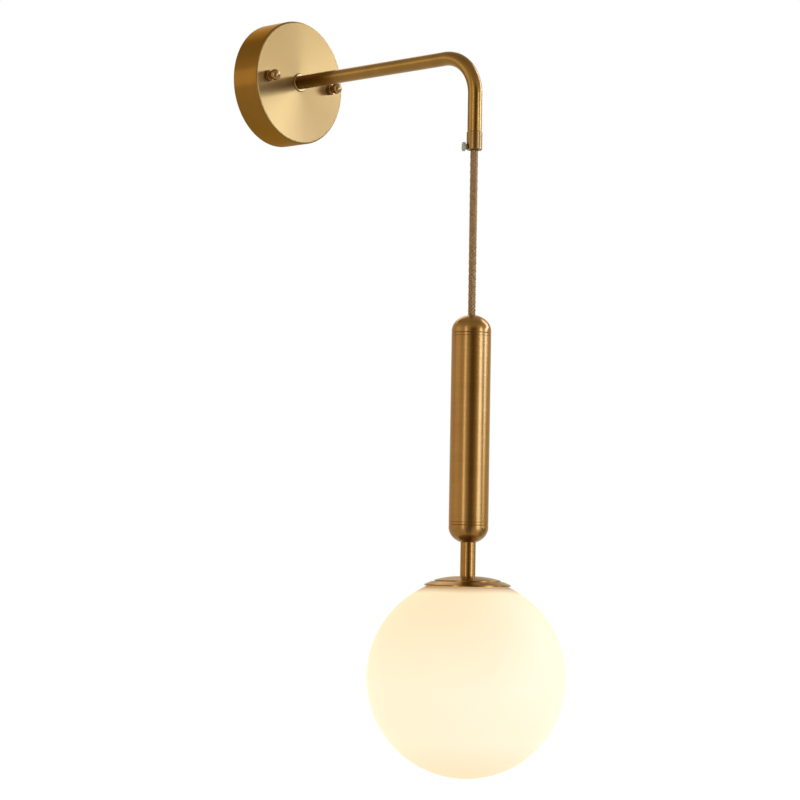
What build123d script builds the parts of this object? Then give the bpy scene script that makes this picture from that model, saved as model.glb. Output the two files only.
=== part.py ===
from build123d import *
import os
from math import sqrt

# A wall sconce. A brass cup on the wall carries an L-shaped tube arm. A textile cord hangs from the arm's end
# through a grip collar and carries a brass capsule, a stem, a two-tier gallery and an opal glass globe.
# The wall is the plane Y = 0, the room lies towards -Y and +Z is up. The origin is the middle of the wall
# bracket, on the wall. Sizes are in millimetres.

os.makedirs("parts", exist_ok=True)

# Fits
thread_gap = 0.05
slip_gap = 0.3
seat_gap = 0.1

# Wall cup, spun from brass sheet and open at the back
cup_diameter = 100.0
cup_depth = 26.0
cup_wall = 1.2
cup_edge_radius = 1.6

# Wall bracket, a steel strap with raised ends and a tab below for the wiring
bracket_thickness = 1.6
bracket_width = 20.0
bracket_raise = 4.0
bracket_end_margin = 7.0
bracket_step_margin = 5.0
bracket_ramp = 2.5
bracket_bend_radius = 1.0
bracket_corner = 4.0
wall_slot_spacing = 42.0
wall_slot_length = 12.0
wall_slot_width = 4.5
cable_hole_diameter = 12.0
tab_width = 36.0
tab_length = 28.0

# Two studs hold the cup to the bracket
stud_spacing = 72.0
stud_diameter = 4.0
stud_head_diameter = 7.4
stud_head_height = 2.2
stud_tip_chamfer = 0.5
lock_nut_across_flats = 7.0
lock_nut_thickness = 3.0

# Ball cap nuts on the cup's face
cap_nut_base_diameter = 9.0
cap_nut_base_length = 3.2
cap_nut_neck_diameter = 6.2
cap_nut_neck_length = 0.7
cap_nut_ball_diameter = 8.8
cap_nut_thread_depth = 7.6
cap_nut_chamfer = 0.4

# Arm, a tube with a turned thread at each end
arm_diameter = 11.0
arm_bore = 8.0
arm_reach = 213.0
arm_bend_radius = 31.0
arm_drop = 60.0
arm_thread_diameter = 10.0
arm_thread_spare = 3.0
arm_flange_diameter = 15.0
arm_flange_thickness = 1.2
lock_washer_diameter = 17.0
lock_washer_thickness = 0.8
lock_washer_teeth = 12
lock_washer_tooth = 1.4
arm_nut_across_flats = 14.0
arm_nut_thickness = 4.0

# Grip collar on the arm's end, with a bush that the grip screw presses on the cord
collar_diameter = 12.0
collar_length = 14.2
collar_chamfer = 0.5
collar_lip = 1.2
collar_thread_length = 7.5
bush_diameter = 8.8
bush_length = 4.0
boss_diameter = 4.2
boss_height = 0.8
grip_screw_diameter = 2.5
grip_screw_rise = 2.3
grip_screw_bearing = 36.0
grip_screw_neck_length = 0.5
grip_head_diameter = 6.9
grip_head_thickness = 1.9
grip_head_flutes = 18
grip_flute_radius = 0.4
grip_slot_width = 0.8
grip_slot_depth = 0.7

# Cord, straight under the weight that it carries
cord_diameter = 5.8
cord_free_length = 125.8
cord_bend_drop = 1.2
cord_seat_drop = 2.0
ferrule_diameter = 11.0
ferrule_length = 12.0
ferrule_crimp_depth = 0.5
ferrule_crimp_length = 3.0

# Capsule, a tube between two domed caps
capsule_diameter = 30.0
capsule_length = 173.0
capsule_wall = 1.5
dome_height = 12.4
cap_band = 1.6
cap_roof = 6.0
cap_spigot_length = 8.0
cap_spigot_wall = 1.8
capsule_groove_offset = 2.2
capsule_groove_size = 0.15
capsule_seam_chamfer = 0.35

# Stem between the capsule and the gallery
stem_diameter = 11.5
stem_bore = 7.0
stem_length = 24.5
stem_thread_diameter = 10.0
stem_thread_spare = 3.0
stem_nut_across_flats = 14.0
stem_nut_thickness = 4.0

# Gallery, a domed cover on a plate whose skirt follows the globe
gallery_sheet = 1.0
cover_diameter = 50.0
cover_height = 3.9
plate_diameter = 65.0
gasket_thickness = 1.0
gasket_diameter = 62.0

# Globe, blown opal glass
globe_diameter = 150.0
globe_wall = 2.8
globe_opening = 54.0
globe_rim_radius = 0.9

# Spring clip that holds the globe by the edge of its opening
clip_thickness = 0.5
clip_ring_diameter = 26.0
clip_arms = 3
clip_arm_width = 6.0
clip_leg_margin = 0.8
clip_bulge = 2.6
clip_bulge_drop = 3.7
clip_tip_drop = 8.5
clip_tip_margin = 1.5

# Lampholder for a small screw cap
holder_diameter = 27.0
holder_wall = 2.0
holder_cap_height = 16.0
holder_cap_edge = 4.0
holder_roof = 6.8
holder_skirt_height = 28.0
holder_spigot = 4.0
holder_core_thickness = 5.0
screw_shell_bore = 14.3
screw_shell_wall = 0.5
contact_diameter = 7.0
contact_thickness = 0.6

# Bulb
bulb_cap_diameter = 13.8
bulb_cap_length = 17.0
bulb_insulator_height = 2.6
bulb_tip_diameter = 4.8
bulb_tip_height = 1.2
bulb_neck_diameter = 16.8
bulb_neck_length = 11.0
bulb_neck_clearance = 1.5
bulb_shoulder_diameter = 28.0
bulb_shoulder_length = 8.5
bulb_diameter = 45.0
bulb_glass = 1.2

# Terminal block and wiring in the cup
block_width = 20.0
block_depth = 11.0
block_height = 16.0
block_centre_x = -6.0
block_gap_below_strap = 9.0
block_corner = 1.0
pole_spacing = 9.0
pole_depth = 4.2
pole_screw_spacing = 9.0
barrel_diameter = 4.4
barrel_bore = 2.6
barrel_length = 14.0
pole_screw_diameter = 3.2
pole_screw_recess = 0.6
block_screw_diameter = 3.0
block_screw_head_diameter = 5.4
block_screw_head_height = 2.4
earth_screw_diameter = 4.0
earth_head_diameter = 7.6
earth_head_height = 2.4
earth_x = 11.0
eyelet_diameter = 7.2
eyelet_thickness = 0.8
eyelet_barrel_diameter = 3.0
eyelet_barrel_length = 6.0
lead_diameter = 1.8
lead_bend = 3.0
lead_spread = 1.5
lead_insertion = 5.0
cable_tail = 2.0
lamp_lead_offset = 9.5
lamp_lead_in_stem = 1.6
lamp_lead_top_gap = 7.0
lamp_lead_turn = 18.0

# Radii and places worked out from the sizes above
cup_radius = cup_diameter / 2
stud_x = stud_spacing / 2
stud_radius = stud_diameter / 2
bracket_half = stud_x + bracket_end_margin
ramp_end = stud_x - bracket_step_margin
flat_half = ramp_end - bracket_ramp
stud_seat = bracket_raise + bracket_thickness
arm_radius = arm_diameter / 2
arm_thread_radius = arm_thread_diameter / 2
arm_shoulder = cup_depth + arm_flange_thickness
cup_inside = cup_depth - cup_wall
arm_nut_seat = cup_inside - lock_washer_thickness
arm_thread_end = arm_nut_seat - arm_nut_thickness - arm_thread_spare
collar_top = -arm_drop
collar_bottom = collar_top - collar_length
cord_radius = cord_diameter / 2
mouth_radius = cord_radius + 2 * slip_gap
bush_bottom = collar_bottom + collar_lip
grip_z = collar_bottom + grip_screw_rise
boss_face = collar_diameter / 2 + boss_height
grip_head_back = boss_face + grip_screw_neck_length
grip_head_face = grip_head_back + grip_head_thickness
bend_z = collar_bottom - cord_bend_drop
cord_top = bend_z - cord_seat_drop
capsule_radius = capsule_diameter / 2
capsule_top = collar_bottom - cord_free_length
capsule_bottom = capsule_top - capsule_length
top_band = capsule_top - dome_height
top_seam = top_band - cap_band
bottom_band = capsule_bottom + dome_height
bottom_seam = bottom_band + cap_band
capsule_bore_radius = capsule_radius - capsule_wall
cap_spigot_radius = capsule_bore_radius - thread_gap
cap_cavity_radius = cap_spigot_radius - cap_spigot_wall
cap_seat = capsule_top - cap_roof
ferrule_top = cap_seat - seat_gap
ferrule_bottom = ferrule_top - ferrule_length
stem_radius = stem_diameter / 2
stem_thread_radius = stem_thread_diameter / 2
stem_spot_depth = dome_height * (1 - sqrt(1 - (stem_radius / capsule_radius) ** 2))
stem_top = capsule_bottom + stem_spot_depth
stem_bottom = capsule_bottom - stem_length
bottom_floor = capsule_bottom + cap_roof
stem_thread_top = bottom_floor + stem_nut_thickness + stem_thread_spare
globe_radius = globe_diameter / 2
globe_inside = globe_radius - globe_wall
opening_radius = globe_opening / 2
plate_inner_sphere = globe_radius + gasket_thickness
plate_outer_sphere = plate_inner_sphere + gallery_sheet
plate_top = stem_bottom - cover_height
plate_under = plate_top - gallery_sheet
globe_z = plate_top - sqrt(plate_outer_sphere**2 - opening_radius**2)
clip_under = plate_under - clip_thickness
rim_inside_z = globe_z + sqrt(globe_inside**2 - opening_radius**2)
holder_radius = holder_diameter / 2
holder_bore_radius = holder_radius - holder_wall
holder_cap_bottom = clip_under - holder_cap_height
cavity_roof = clip_under - holder_roof
core_bottom = holder_cap_bottom + holder_spigot
core_top = core_bottom + holder_core_thickness
holder_bottom = holder_cap_bottom - holder_skirt_height
contact_bottom = core_bottom - contact_thickness
bulb_tip_z = contact_bottom - seat_gap
bulb_insulator_z = bulb_tip_z - bulb_tip_height
bulb_cap_z = bulb_insulator_z - bulb_insulator_height
bulb_neck_z = bulb_cap_z - bulb_cap_length
bulb_shoulder_z = bulb_neck_z - bulb_neck_length
bulb_joint_z = bulb_shoulder_z - bulb_shoulder_length
bulb_z = bulb_joint_z - sqrt((bulb_diameter / 2) ** 2 - (bulb_shoulder_diameter / 2) ** 2)
block_top = -bracket_width / 2 - block_gap_below_strap
block_z = block_top - block_height / 2
block_face = bracket_thickness + block_depth
pole_y = bracket_thickness + pole_depth
cable_end = arm_thread_end - cable_tail
lead_radius = lead_diameter / 2
lamp_lead_top = ferrule_bottom - lamp_lead_top_gap
lamp_lead_bend_z = stem_thread_top + lamp_lead_turn

pendant_axis = Axis((0, -arm_reach, 0), (0, 0, 1))
pendant_section = Plane.XZ.offset(arm_reach)

# The grip screw points sideways, turned by its bearing towards the wall
grip_centre = Vector(0, -arm_reach, grip_z)
grip_out = Vector(-1, 0, 0).rotate(Axis.Z, -grip_screw_bearing)
grip_plane = Plane(grip_centre + grip_out * grip_head_face, x_dir=(0, 0, 1), z_dir=-grip_out)
boss_plane = Plane(grip_centre + grip_out * boss_face, x_dir=(0, 0, 1), z_dir=-grip_out)


def from_wall(depth):
    """A plane that faces the room, this far from the wall, with X and Z as its axes."""
    return Plane.XZ.offset(depth)


def at_height(z):
    """A level plane at this height, centred on the cord."""
    return Plane((0, -arm_reach, z))


def hex_nut(plane, places, across_flats, thickness, bore_radius):
    """Hexagon nuts that sit on a plane, one at each of the places."""
    with BuildPart() as nut:
        with BuildSketch(plane):
            with Locations(*places):
                RegularPolygon(across_flats / 2, 6, major_radius=False)
                Circle(bore_radius, mode=Mode.SUBTRACT)
        extrude(amount=thickness)
    return nut


def wire(points, bend):
    """A round wire through the points, with one bend radius at its corners."""
    with BuildPart() as strand:
        with BuildLine() as route:
            FilletPolyline(*points, radius=bend)
        with BuildSketch(Plane(route.line @ 0, z_dir=route.line % 0)):
            Circle(lead_radius)
        sweep()
    return strand


# Wall bracket
with BuildPart() as wall_bracket:
    with BuildSketch(Plane.XY):
        with BuildLine():
            Polyline(
                (0, 0),
                (flat_half, 0),
                (ramp_end, -bracket_raise),
                (bracket_half, -bracket_raise),
                (bracket_half, -stud_seat),
                (ramp_end, -stud_seat),
                (flat_half, -bracket_thickness),
                (0, -bracket_thickness),
                close=True,
            )
        make_face()
        mirror(about=Plane.YZ)
    extrude(amount=bracket_width / 2, both=True)
    bend_reach = ramp_end + bracket_bend_radius
    bends = wall_bracket.edges().filter_by(Axis.Z).filter_by_position(Axis.X, -bend_reach, bend_reach)
    fillet(bends, bracket_bend_radius)
    with BuildSketch(Plane.XZ):
        with Locations((0, -bracket_width / 2)):
            Rectangle(tab_width, tab_length, align=(Align.CENTER, Align.MAX))
    extrude(amount=bracket_thickness)
    upright = wall_bracket.edges().filter_by(Axis.Y)
    fillet(upright.group_by(Axis.X)[0] + upright.group_by(Axis.X)[-1], bracket_corner)
    fillet(wall_bracket.edges().filter_by(Axis.Y).group_by(Axis.Z)[0], bracket_corner)
    with BuildSketch(Plane.XZ):
        Circle(cable_hole_diameter / 2)
        with GridLocations(wall_slot_spacing, 0, 2, 1):
            SlotOverall(wall_slot_length, wall_slot_width)
        with GridLocations(stud_spacing, 0, 2, 1):
            Circle(stud_radius + thread_gap)
        with Locations((block_centre_x, block_z)):
            Circle(block_screw_diameter / 2 + thread_gap)
        with Locations((earth_x, block_z)):
            Circle(earth_screw_diameter / 2 + thread_gap)
    extrude(amount=stud_seat, mode=Mode.SUBTRACT)
wall_bracket.part.label = "wall_bracket"
export_step(wall_bracket.part, "parts/wall_bracket.step")

# Studs, with their heads behind the bracket's raised ends
with BuildPart() as bracket_studs:
    with BuildSketch(from_wall(bracket_raise - stud_head_height)):
        with GridLocations(stud_spacing, 0, 2, 1):
            Circle(stud_head_diameter / 2)
    extrude(amount=stud_head_height)
    with BuildSketch(from_wall(bracket_raise)):
        with GridLocations(stud_spacing, 0, 2, 1):
            Circle(stud_radius)
    extrude(amount=cup_depth + cap_nut_thread_depth - seat_gap - bracket_raise)
    chamfer(bracket_studs.faces().sort_by(Axis.Y)[:2].edges(), stud_tip_chamfer)
bracket_studs.part.label = "bracket_studs"
export_step(bracket_studs.part, "parts/bracket_studs.step")

# Lock nuts that fix the studs in the bracket
stud_lock_nuts = hex_nut(
    from_wall(stud_seat),
    [(-stud_x, 0), (stud_x, 0)],
    lock_nut_across_flats,
    lock_nut_thickness,
    stud_radius + thread_gap,
)
stud_lock_nuts.part.label = "stud_lock_nuts"
export_step(stud_lock_nuts.part, "parts/stud_lock_nuts.step")

# Wall cup
with BuildPart() as wall_cup:
    with BuildSketch(Plane.XZ):
        Circle(cup_radius)
    extrude(amount=cup_depth)
    fillet(wall_cup.faces().sort_by(Axis.Y)[0].edges(), cup_edge_radius)
    with BuildSketch(Plane.XZ):
        Circle(cup_radius - cup_wall)
    extrude(amount=cup_inside, mode=Mode.SUBTRACT)
    with BuildSketch(from_wall(cup_depth)):
        Circle(arm_thread_radius + thread_gap)
        with GridLocations(stud_spacing, 0, 2, 1):
            Circle(stud_radius + seat_gap)
    extrude(amount=-cup_wall, mode=Mode.SUBTRACT)
wall_cup.part.label = "wall_cup"
export_step(wall_cup.part, "parts/wall_cup.step")

# Ball cap nuts: a plain base, a neck and a ball
cap_nut_neck_start = cup_depth + cap_nut_base_length
cap_nut_ball_start = cap_nut_neck_start + cap_nut_neck_length
cap_nut_ball_radius = cap_nut_ball_diameter / 2
cap_nut_neck_radius = cap_nut_neck_diameter / 2
cap_nut_ball_centre = cap_nut_ball_start + sqrt(cap_nut_ball_radius**2 - cap_nut_neck_radius**2)
with BuildPart() as cap_nuts:
    with BuildSketch(Plane.XY):
        with BuildLine():
            Polyline(
                (stud_x, -cap_nut_ball_centre - cap_nut_ball_radius),
                (stud_x, -cup_depth),
                (stud_x + cap_nut_base_diameter / 2, -cup_depth),
                (stud_x + cap_nut_base_diameter / 2, -cap_nut_neck_start),
                (stud_x + cap_nut_neck_radius, -cap_nut_neck_start),
                (stud_x + cap_nut_neck_radius, -cap_nut_ball_start),
            )
            ThreePointArc(
                (stud_x + cap_nut_neck_radius, -cap_nut_ball_start),
                (stud_x + cap_nut_ball_radius, -cap_nut_ball_centre),
                (stud_x, -cap_nut_ball_centre - cap_nut_ball_radius),
            )
        make_face()
    revolve(axis=Axis((stud_x, 0, 0), (0, 1, 0)))
    base_rims = cap_nuts.edges().filter_by(GeomType.CIRCLE).filter_by_position(Axis.Y, -cap_nut_ball_start, -cup_depth)
    chamfer(base_rims.group_by(SortBy.RADIUS)[-1], cap_nut_chamfer)
    with BuildSketch(from_wall(cup_depth)):
        with Locations((stud_x, 0)):
            Circle(stud_radius + thread_gap)
    extrude(amount=cap_nut_thread_depth, mode=Mode.SUBTRACT)
    mirror(about=Plane.YZ)
cap_nuts.part.label = "cap_nuts"
export_step(cap_nuts.part, "parts/cap_nuts.step")

# Flange ring at the foot of the arm
with BuildPart() as arm_flange:
    with BuildSketch(from_wall(cup_depth)):
        Circle(arm_flange_diameter / 2)
        Circle(arm_thread_radius + thread_gap, mode=Mode.SUBTRACT)
    extrude(amount=arm_flange_thickness)
    flange_rim = arm_flange.faces().sort_by(Axis.Y)[0].edges().sort_by(SortBy.RADIUS)[-1]
    fillet(flange_rim, arm_flange_thickness / 2)
arm_flange.part.label = "arm_flange"
export_step(arm_flange.part, "parts/arm_flange.step")

# Arm
with BuildPart() as arm_tube:
    with BuildLine():
        FilletPolyline(
            (0, -arm_shoulder, 0),
            (0, -arm_reach, 0),
            (0, -arm_reach, -arm_drop),
            radius=arm_bend_radius,
        )
    with BuildSketch(from_wall(arm_shoulder)):
        Circle(arm_radius)
        Circle(arm_bore / 2, mode=Mode.SUBTRACT)
    sweep()
    with BuildSketch(from_wall(arm_thread_end)):
        Circle(arm_thread_radius)
        Circle(arm_bore / 2, mode=Mode.SUBTRACT)
    extrude(amount=arm_shoulder - arm_thread_end)
    with BuildSketch(at_height(collar_top)):
        Circle(arm_thread_radius)
        Circle(arm_bore / 2, mode=Mode.SUBTRACT)
    extrude(amount=-collar_thread_length)
arm_tube.part.label = "arm_tube"
export_step(arm_tube.part, "parts/arm_tube.step")

# Toothed lock washer and nut on the arm's thread, inside the cup
with BuildPart() as arm_lock_washer:
    with BuildSketch(from_wall(arm_nut_seat)):
        Circle(lock_washer_diameter / 2 - lock_washer_tooth)
        with PolarLocations(lock_washer_diameter / 2 - lock_washer_tooth, lock_washer_teeth):
            Rectangle(2 * lock_washer_tooth, lock_washer_tooth)
        Circle(arm_thread_radius + thread_gap, mode=Mode.SUBTRACT)
    extrude(amount=lock_washer_thickness)
arm_lock_washer.part.label = "arm_lock_washer"
export_step(arm_lock_washer.part, "parts/arm_lock_washer.step")

arm_lock_nut = hex_nut(
    from_wall(arm_nut_seat - arm_nut_thickness),
    [(0, 0)],
    arm_nut_across_flats,
    arm_nut_thickness,
    arm_thread_radius + thread_gap,
)
arm_lock_nut.part.label = "arm_lock_nut"
export_step(arm_lock_nut.part, "parts/arm_lock_nut.step")

# The cord's held length, through the arm from the cup to the grip
with BuildPart() as arm_cable:
    with BuildLine():
        FilletPolyline(
            (0, -cable_end, 0),
            (0, -arm_reach, 0),
            (0, -arm_reach, bend_z + cord_radius + slip_gap),
            radius=arm_bend_radius,
        )
    with BuildSketch(from_wall(cable_end)):
        Circle(cord_radius)
    sweep()
arm_cable.part.label = "arm_cable"
export_step(arm_cable.part, "parts/arm_cable.step")

# Grip collar
with BuildPart() as grip_collar:
    with BuildSketch(at_height(collar_bottom)):
        Circle(collar_diameter / 2)
    extrude(amount=collar_length)
    chamfer(grip_collar.edges().filter_by(GeomType.CIRCLE), collar_chamfer)
    with BuildSketch(boss_plane):
        Circle(boss_diameter / 2)
    extrude(amount=boss_face)
    with BuildSketch(at_height(collar_top)):
        Circle(mouth_radius)
    extrude(amount=-collar_length, mode=Mode.SUBTRACT)
    with BuildSketch(at_height(bush_bottom)):
        Circle(bush_diameter / 2 + thread_gap)
    extrude(amount=collar_top - bush_bottom, mode=Mode.SUBTRACT)
    with BuildSketch(at_height(collar_top)):
        Circle(arm_thread_radius + thread_gap)
    extrude(amount=-collar_thread_length - seat_gap, mode=Mode.SUBTRACT)
    with BuildSketch(boss_plane):
        Circle(grip_screw_diameter / 2 + thread_gap)
    extrude(amount=boss_face, mode=Mode.SUBTRACT)
grip_collar.part.label = "grip_collar"
export_step(grip_collar.part, "parts/grip_collar.step")

# Bush in the collar, with a side hole for the screw
with BuildPart() as grip_bush:
    with BuildSketch(at_height(bush_bottom)):
        Circle(bush_diameter / 2)
        Circle(cord_radius + seat_gap, mode=Mode.SUBTRACT)
    extrude(amount=bush_length)
    with BuildSketch(boss_plane):
        Circle(grip_screw_diameter / 2 + seat_gap)
    extrude(amount=boss_face, mode=Mode.SUBTRACT)
grip_bush.part.label = "grip_bush"
export_step(grip_bush.part, "parts/grip_bush.step")

# Grip screw, with a fluted and slotted head
with BuildPart() as grip_screw:
    with BuildSketch(grip_plane):
        Circle(grip_head_diameter / 2)
        with PolarLocations(grip_head_diameter / 2, grip_head_flutes):
            Circle(grip_flute_radius, mode=Mode.SUBTRACT)
    extrude(amount=grip_head_thickness)
    with BuildSketch(grip_plane):
        Rectangle(grip_head_diameter, grip_slot_width)
    extrude(amount=grip_slot_depth, mode=Mode.SUBTRACT)
    with BuildSketch(grip_plane.offset(grip_head_thickness)):
        Circle(grip_screw_diameter / 2)
    extrude(amount=grip_head_back - cord_radius - seat_gap)
grip_screw.part.label = "grip_screw"
export_step(grip_screw.part, "parts/grip_screw.step")

# The bend in the cord just under the collar, a ball about which the cord swings both ways
with BuildPart() as cord_bend:
    with Locations((0, -arm_reach, bend_z)):
        Sphere(cord_radius)
cord_bend.part.label = "cord_bend"
export_step(cord_bend.part, "parts/cord_bend.step")

# The cord's hanging length, from the bend to the ferrule, hollowed at its top to clear the bend
with BuildPart() as cord:
    with BuildSketch(at_height(ferrule_bottom)):
        Circle(cord_radius)
    extrude(amount=cord_top - ferrule_bottom)
    with Locations((0, -arm_reach, bend_z)):
        Sphere(cord_radius + slip_gap, mode=Mode.SUBTRACT)
cord.part.label = "cord"
export_step(cord.part, "parts/cord.step")

# Ferrule crimped on the cord's end, which carries the capsule by its top cap
with BuildPart() as cord_ferrule:
    with BuildSketch(at_height(ferrule_bottom)):
        Circle(ferrule_diameter / 2)
        Circle(cord_radius + thread_gap, mode=Mode.SUBTRACT)
    extrude(amount=ferrule_length)
    with BuildSketch(at_height((ferrule_top + ferrule_bottom - ferrule_crimp_length) / 2)):
        Circle(ferrule_diameter / 2)
        Circle(ferrule_diameter / 2 - ferrule_crimp_depth, mode=Mode.SUBTRACT)
    extrude(amount=ferrule_crimp_length, mode=Mode.SUBTRACT)
cord_ferrule.part.label = "cord_ferrule"
export_step(cord_ferrule.part, "parts/cord_ferrule.step")

# Capsule top cap: a dome with a threaded spigot and a hole for the cord
with BuildPart() as capsule_top_cap:
    with BuildSketch(pendant_section):
        with BuildLine():
            Polyline(
                (0, capsule_top),
                (0, top_seam),
                (capsule_radius, top_seam),
                (capsule_radius, top_band),
            )
            EllipticalCenterArc((0, top_band), capsule_radius, dome_height, 0, arc_size=90)
        make_face()
    revolve(axis=pendant_axis)
    chamfer(capsule_top_cap.faces().sort_by(Axis.Z)[0].edges(), capsule_seam_chamfer)
    with BuildSketch(at_height(top_seam)):
        Circle(cap_spigot_radius)
    extrude(amount=-cap_spigot_length)
    with BuildSketch(at_height(top_seam - cap_spigot_length)):
        Circle(cap_cavity_radius)
    extrude(amount=cap_seat - top_seam + cap_spigot_length, mode=Mode.SUBTRACT)
    with BuildSketch(at_height(cap_seat)):
        Circle(cord_radius + slip_gap)
    extrude(amount=cap_roof, mode=Mode.SUBTRACT)
capsule_top_cap.part.label = "capsule_top_cap"
export_step(capsule_top_cap.part, "parts/capsule_top_cap.step")

# Capsule tube, with a fine groove turned near each end
with BuildPart() as capsule_tube:
    with BuildSketch(at_height(bottom_seam)):
        Circle(capsule_radius)
        Circle(capsule_bore_radius, mode=Mode.SUBTRACT)
    extrude(amount=top_seam - bottom_seam)
    tube_rims = capsule_tube.edges().filter_by(GeomType.CIRCLE).group_by(SortBy.RADIUS)[-1]
    chamfer(tube_rims, capsule_seam_chamfer)
    with BuildSketch(pendant_section):
        for groove_z in (top_seam - capsule_groove_offset, bottom_seam + capsule_groove_offset):
            with Locations((capsule_radius, groove_z)):
                Rectangle(2 * capsule_groove_size, 2 * capsule_groove_size, rotation=45)
    revolve(axis=pendant_axis, mode=Mode.SUBTRACT)
capsule_tube.part.label = "capsule_tube"
export_step(capsule_tube.part, "parts/capsule_tube.step")

# Capsule bottom cap: the same dome upside down, spot-faced for the stem
with BuildPart() as capsule_bottom_cap:
    with BuildSketch(pendant_section):
        with BuildLine():
            Polyline(
                (0, capsule_bottom),
                (0, bottom_seam),
                (capsule_radius, bottom_seam),
                (capsule_radius, bottom_band),
            )
            EllipticalCenterArc((0, bottom_band), capsule_radius, dome_height, 0, arc_size=-90)
        make_face()
    revolve(axis=pendant_axis)
    chamfer(capsule_bottom_cap.faces().sort_by(Axis.Z)[-1].edges(), capsule_seam_chamfer)
    with BuildSketch(at_height(bottom_seam)):
        Circle(cap_spigot_radius)
    extrude(amount=cap_spigot_length)
    with BuildSketch(at_height(bottom_floor)):
        Circle(cap_cavity_radius)
    extrude(amount=bottom_seam + cap_spigot_length - bottom_floor, mode=Mode.SUBTRACT)
    with BuildSketch(at_height(capsule_bottom)):
        Circle(capsule_radius)
    extrude(amount=stem_spot_depth, mode=Mode.SUBTRACT)
    with BuildSketch(at_height(capsule_bottom)):
        Circle(stem_thread_radius + thread_gap)
    extrude(amount=cap_roof, mode=Mode.SUBTRACT)
capsule_bottom_cap.part.label = "capsule_bottom_cap"
export_step(capsule_bottom_cap.part, "parts/capsule_bottom_cap.step")

# Stem, a tube threaded into the capsule above and into the lampholder below
with BuildPart() as stem:
    with BuildSketch(at_height(stem_bottom)):
        Circle(stem_radius)
    extrude(amount=stem_top - stem_bottom)
    with BuildSketch(at_height(cavity_roof)):
        Circle(stem_thread_radius)
    extrude(amount=stem_thread_top - cavity_roof)
    with BuildSketch(at_height(cavity_roof)):
        Circle(stem_bore / 2)
    extrude(amount=stem_thread_top - cavity_roof, mode=Mode.SUBTRACT)
stem.part.label = "stem"
export_step(stem.part, "parts/stem.step")

stem_lock_nut = hex_nut(
    at_height(bottom_floor),
    [(0, 0)],
    stem_nut_across_flats,
    stem_nut_thickness,
    stem_thread_radius + thread_gap,
)
stem_lock_nut.part.label = "stem_lock_nut"
export_step(stem_lock_nut.part, "parts/stem_lock_nut.step")

# Gallery cover, a shallow pressed dome with a flat in the middle for the stem
cover_radius = cover_diameter / 2
cover_hole_radius = stem_thread_radius + thread_gap
cover_under = stem_bottom - gallery_sheet
with BuildPart() as gallery_cover:
    with BuildSketch(pendant_section):
        with BuildLine():
            TangentArc((stem_radius, stem_bottom), (cover_radius, plate_top + gallery_sheet), tangent=(1, 0))
            Line((cover_radius, plate_top + gallery_sheet), (cover_radius, plate_top))
            TangentArc((stem_radius, cover_under), (cover_radius, plate_top), tangent=(1, 0))
            Polyline(
                (stem_radius, cover_under),
                (cover_hole_radius, cover_under),
                (cover_hole_radius, stem_bottom),
                (stem_radius, stem_bottom),
            )
        make_face()
    revolve(axis=pendant_axis)
    cover_rim_z = plate_top + gallery_sheet
    cover_rim = gallery_cover.edges().filter_by_position(Axis.Z, cover_rim_z - seat_gap, cover_rim_z + seat_gap)
    fillet(cover_rim, gallery_sheet / 3)
gallery_cover.part.label = "gallery_cover"
export_step(gallery_cover.part, "parts/gallery_cover.step")

# Gallery plate, flat in the middle, with a skirt that runs parallel to the globe
plate_radius = plate_diameter / 2
with BuildPart() as gallery_plate:
    with BuildSketch(pendant_section):
        with Locations((0, globe_z)):
            Circle(plate_outer_sphere)
            Circle(plate_inner_sphere, mode=Mode.SUBTRACT)
        with Locations((0, plate_top)):
            Rectangle(plate_radius, plate_outer_sphere, align=(Align.MIN, Align.MAX), mode=Mode.INTERSECT)
            Rectangle(opening_radius, gallery_sheet, align=(Align.MIN, Align.MAX))
        with Locations((0, globe_z)):
            Rectangle(plate_radius, 2 * plate_outer_sphere, align=(Align.MIN, Align.MAX), mode=Mode.SUBTRACT)
        with Locations((0, plate_top)):
            Rectangle(
                2 * (stem_thread_radius + thread_gap),
                2 * gallery_sheet,
                align=(Align.CENTER, Align.MAX),
                mode=Mode.SUBTRACT,
            )
    revolve(axis=pendant_axis)
gallery_plate.part.label = "gallery_plate"
export_step(gallery_plate.part, "parts/gallery_plate.step")

# Gasket between the plate's skirt and the glass
with BuildPart() as globe_gasket:
    with BuildSketch(pendant_section):
        with Locations((0, globe_z)):
            Circle(plate_inner_sphere - thread_gap)
            Circle(globe_radius + thread_gap, mode=Mode.SUBTRACT)
        with Locations((opening_radius + globe_rim_radius, globe_z)):
            Rectangle(
                gasket_diameter / 2 - opening_radius - globe_rim_radius,
                plate_outer_sphere,
                align=(Align.MIN, Align.MIN),
                mode=Mode.INTERSECT,
            )
    revolve(axis=pendant_axis)
globe_gasket.part.label = "globe_gasket"
export_step(globe_gasket.part, "parts/globe_gasket.step")

# Globe
with BuildPart() as globe:
    with BuildSketch(pendant_section):
        with Locations((0, globe_z)):
            Circle(globe_radius)
            Circle(globe_inside, mode=Mode.SUBTRACT)
            Rectangle(globe_radius, globe_diameter, align=(Align.MIN, Align.CENTER), mode=Mode.INTERSECT)
            Rectangle(opening_radius, globe_radius, align=(Align.MIN, Align.MIN), mode=Mode.SUBTRACT)
    revolve(axis=pendant_axis)
    rim_edges = globe.edges().filter_by(GeomType.CIRCLE)
    fillet(rim_edges.filter_by_position(Axis.Z, rim_inside_z - slip_gap, plate_top), globe_rim_radius)
globe.part.label = "globe"
export_step(globe.part, "parts/globe.step")

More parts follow.
